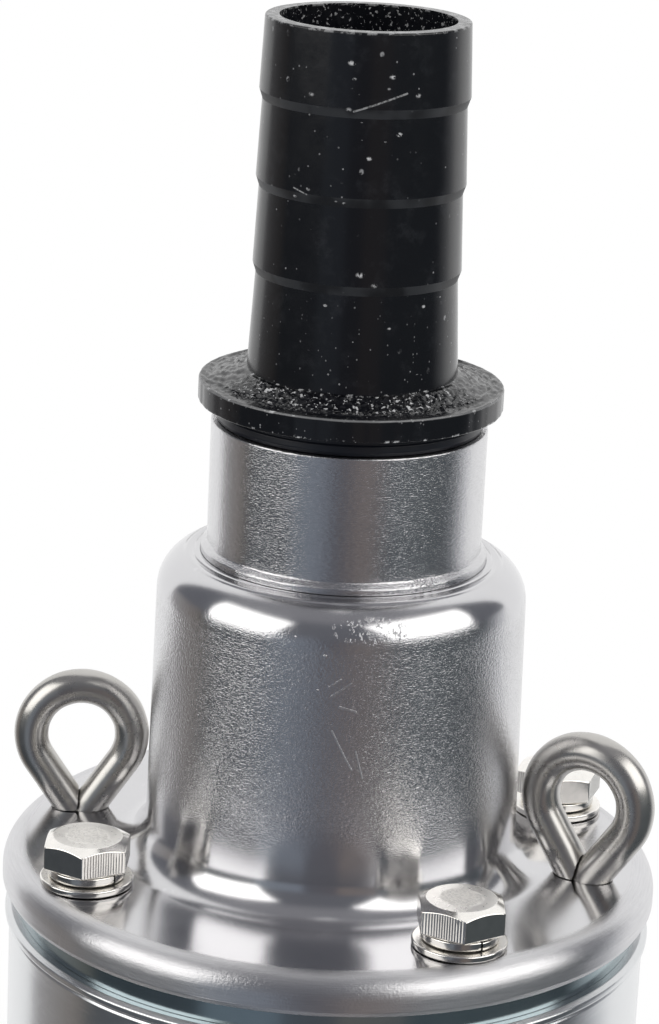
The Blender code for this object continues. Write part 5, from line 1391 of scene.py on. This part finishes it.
def darkCards():
    v = cardValues
    first, last = math.radians(cardTones[0][0]), math.radians(cardTones[-1][0])
    count = len(v["section"])
    points, faces = [], []
    for step in range(v["steps"] + 1):
        angle = first + (last - first) * step / v["steps"]
        out = Vector((math.sin(angle), -math.cos(angle), 0.0))
        points += [out * radius + upright(height) for radius, height in v["section"]]
    for step in range(v["steps"]):
        for index in range(count - 1):
            a = step * count + index
            faces.append((a, a + 1, a + count + 1, a + count))
    data = bpy.data.meshes.new("studioCards")
    data.from_pydata(points, [], faces)
    cards = linked("studioCards", data)
    material, g = emptyMaterial("studioCardTones")
    x, y, z = g.split(g.add("TexCoord", "Object"))
    angle = g.math("ARCTAN2", x, y * -1.0)
    share = g.add("MapRange", 0, {"Value": angle, "From Min": first, "From Max": last})
    tone = g.add("ValToRGB", 0, {0: share})
    stops = tone.socket.node.color_ramp.elements
    for index, (degrees, colour) in enumerate(cardTones):
        at = (math.radians(degrees) - first) / (last - first)
        stop = stops[index] if index < 2 else stops.new(at)
        stop.position = at
        stop.color = (*colour, 1.0)
    for low, high, above in v["climbs"]:
        tone = g.mix(g.add("MapRange", 0, {"Value": z, "From Min": low, "From Max": high}), tone, above)
    g.show("Material Output", g.add("Emission", 0, {"Color": tone}))
    material.cycles.emission_sampling = "NONE"
    data.materials.append(material)
    cards.visible_camera = False
    cards.visible_diffuse = False
    cards.visible_shadow = False
    cards.visible_volume_scatter = False


def softboxes():
    v = studioValues
    target = upright(v["softboxTarget"])
    for name, angles in softboxAngles.items():
        side, up, halfWide, halfHigh = (math.radians(value) for value in angles)
        out = Vector((math.sin(side) * math.cos(up), -math.cos(side) * math.cos(up), math.sin(up)))
        data = bpy.data.lights.new(name, "AREA")
        data.shape = "RECTANGLE"
        data.size = 2 * v["softboxAway"] * math.cos(up) * math.tan(halfWide)
        data.size_y = 2 * v["softboxAway"] * math.tan(halfHigh)
        data.energy = v["softboxBright"] * math.pi * data.size * data.size_y
        data.color = v["softboxTint"]
        lamp = linked(name, data)
        lamp.location = target + out * v["softboxAway"]
        lamp.rotation_mode = "QUATERNION"
        lamp.rotation_quaternion = out.to_track_quat("Z", "Y")
        lamp.visible_camera = False


cameraValues = {"place": (0.0, -0.5232, 0.6216), "yawDeg": -0.278, "pitchDeg": 16.90, "rollDeg": 2.66,
                "lens": 119.6, "sensor": 36.0, "nearest": 0.01}


def photoCamera():
    v = cameraValues
    yaw, pitch, roll = (math.radians(v[name]) for name in ("yawDeg", "pitchDeg", "rollDeg"))
    ahead = Vector((math.sin(yaw) * math.cos(pitch), math.cos(yaw) * math.cos(pitch), -math.sin(pitch)))
    right = ahead.cross(Vector((0.0, 0.0, 1.0))).normalized()
    up = right.cross(ahead)
    across = right * math.cos(roll) + up * math.sin(roll)
    above = up * math.cos(roll) - right * math.sin(roll)
    data = bpy.data.cameras.new("camera")
    data.lens = v["lens"]
    data.sensor_width = v["sensor"]
    data.clip_start = v["nearest"]
    camera = linked("camera", data)
    turn = Matrix((across, above, -ahead)).transposed().to_4x4()
    camera.matrix_world = Matrix.Translation(v["place"]) @ turn
    bpy.context.scene.camera = camera


bpy.context.scene.view_settings.view_transform = "Standard"
photoCamera()
studioWorld()
paleFloor()
darkCards()
softboxes()
print("studio and camera ready")

hoseBarb()
outletGasket()
dischargeNeck()
print("outlet ready")

dischargeHead()
fastenerLook = headBolts()
washers(fastenerLook)
liftingEyes()
print("head and fasteners ready")

topBearingHousing()
pumpBarrel()
castLook = castSteel()
suctionBracket(castLook)
suctionStrainer()
bracketBolts(fastenerLook)
cableGland(fastenerLook)
print("pump body ready")

motorUpperBracket(castLook)
motorShell()
motorBase(castLook)
radialScrew("fillPlug", "fill_plug", fastenerLook, **plugValues)
for number in range(1, 4):
    radialScrew(f"baseScrew{number}", f"base_screw_{number}", fastenerLook, **baseScrewValues)
print("motor ready")

couplingAndShafts()
valveSpring(fastenerLook)
innerParts()
print("inner parts ready")
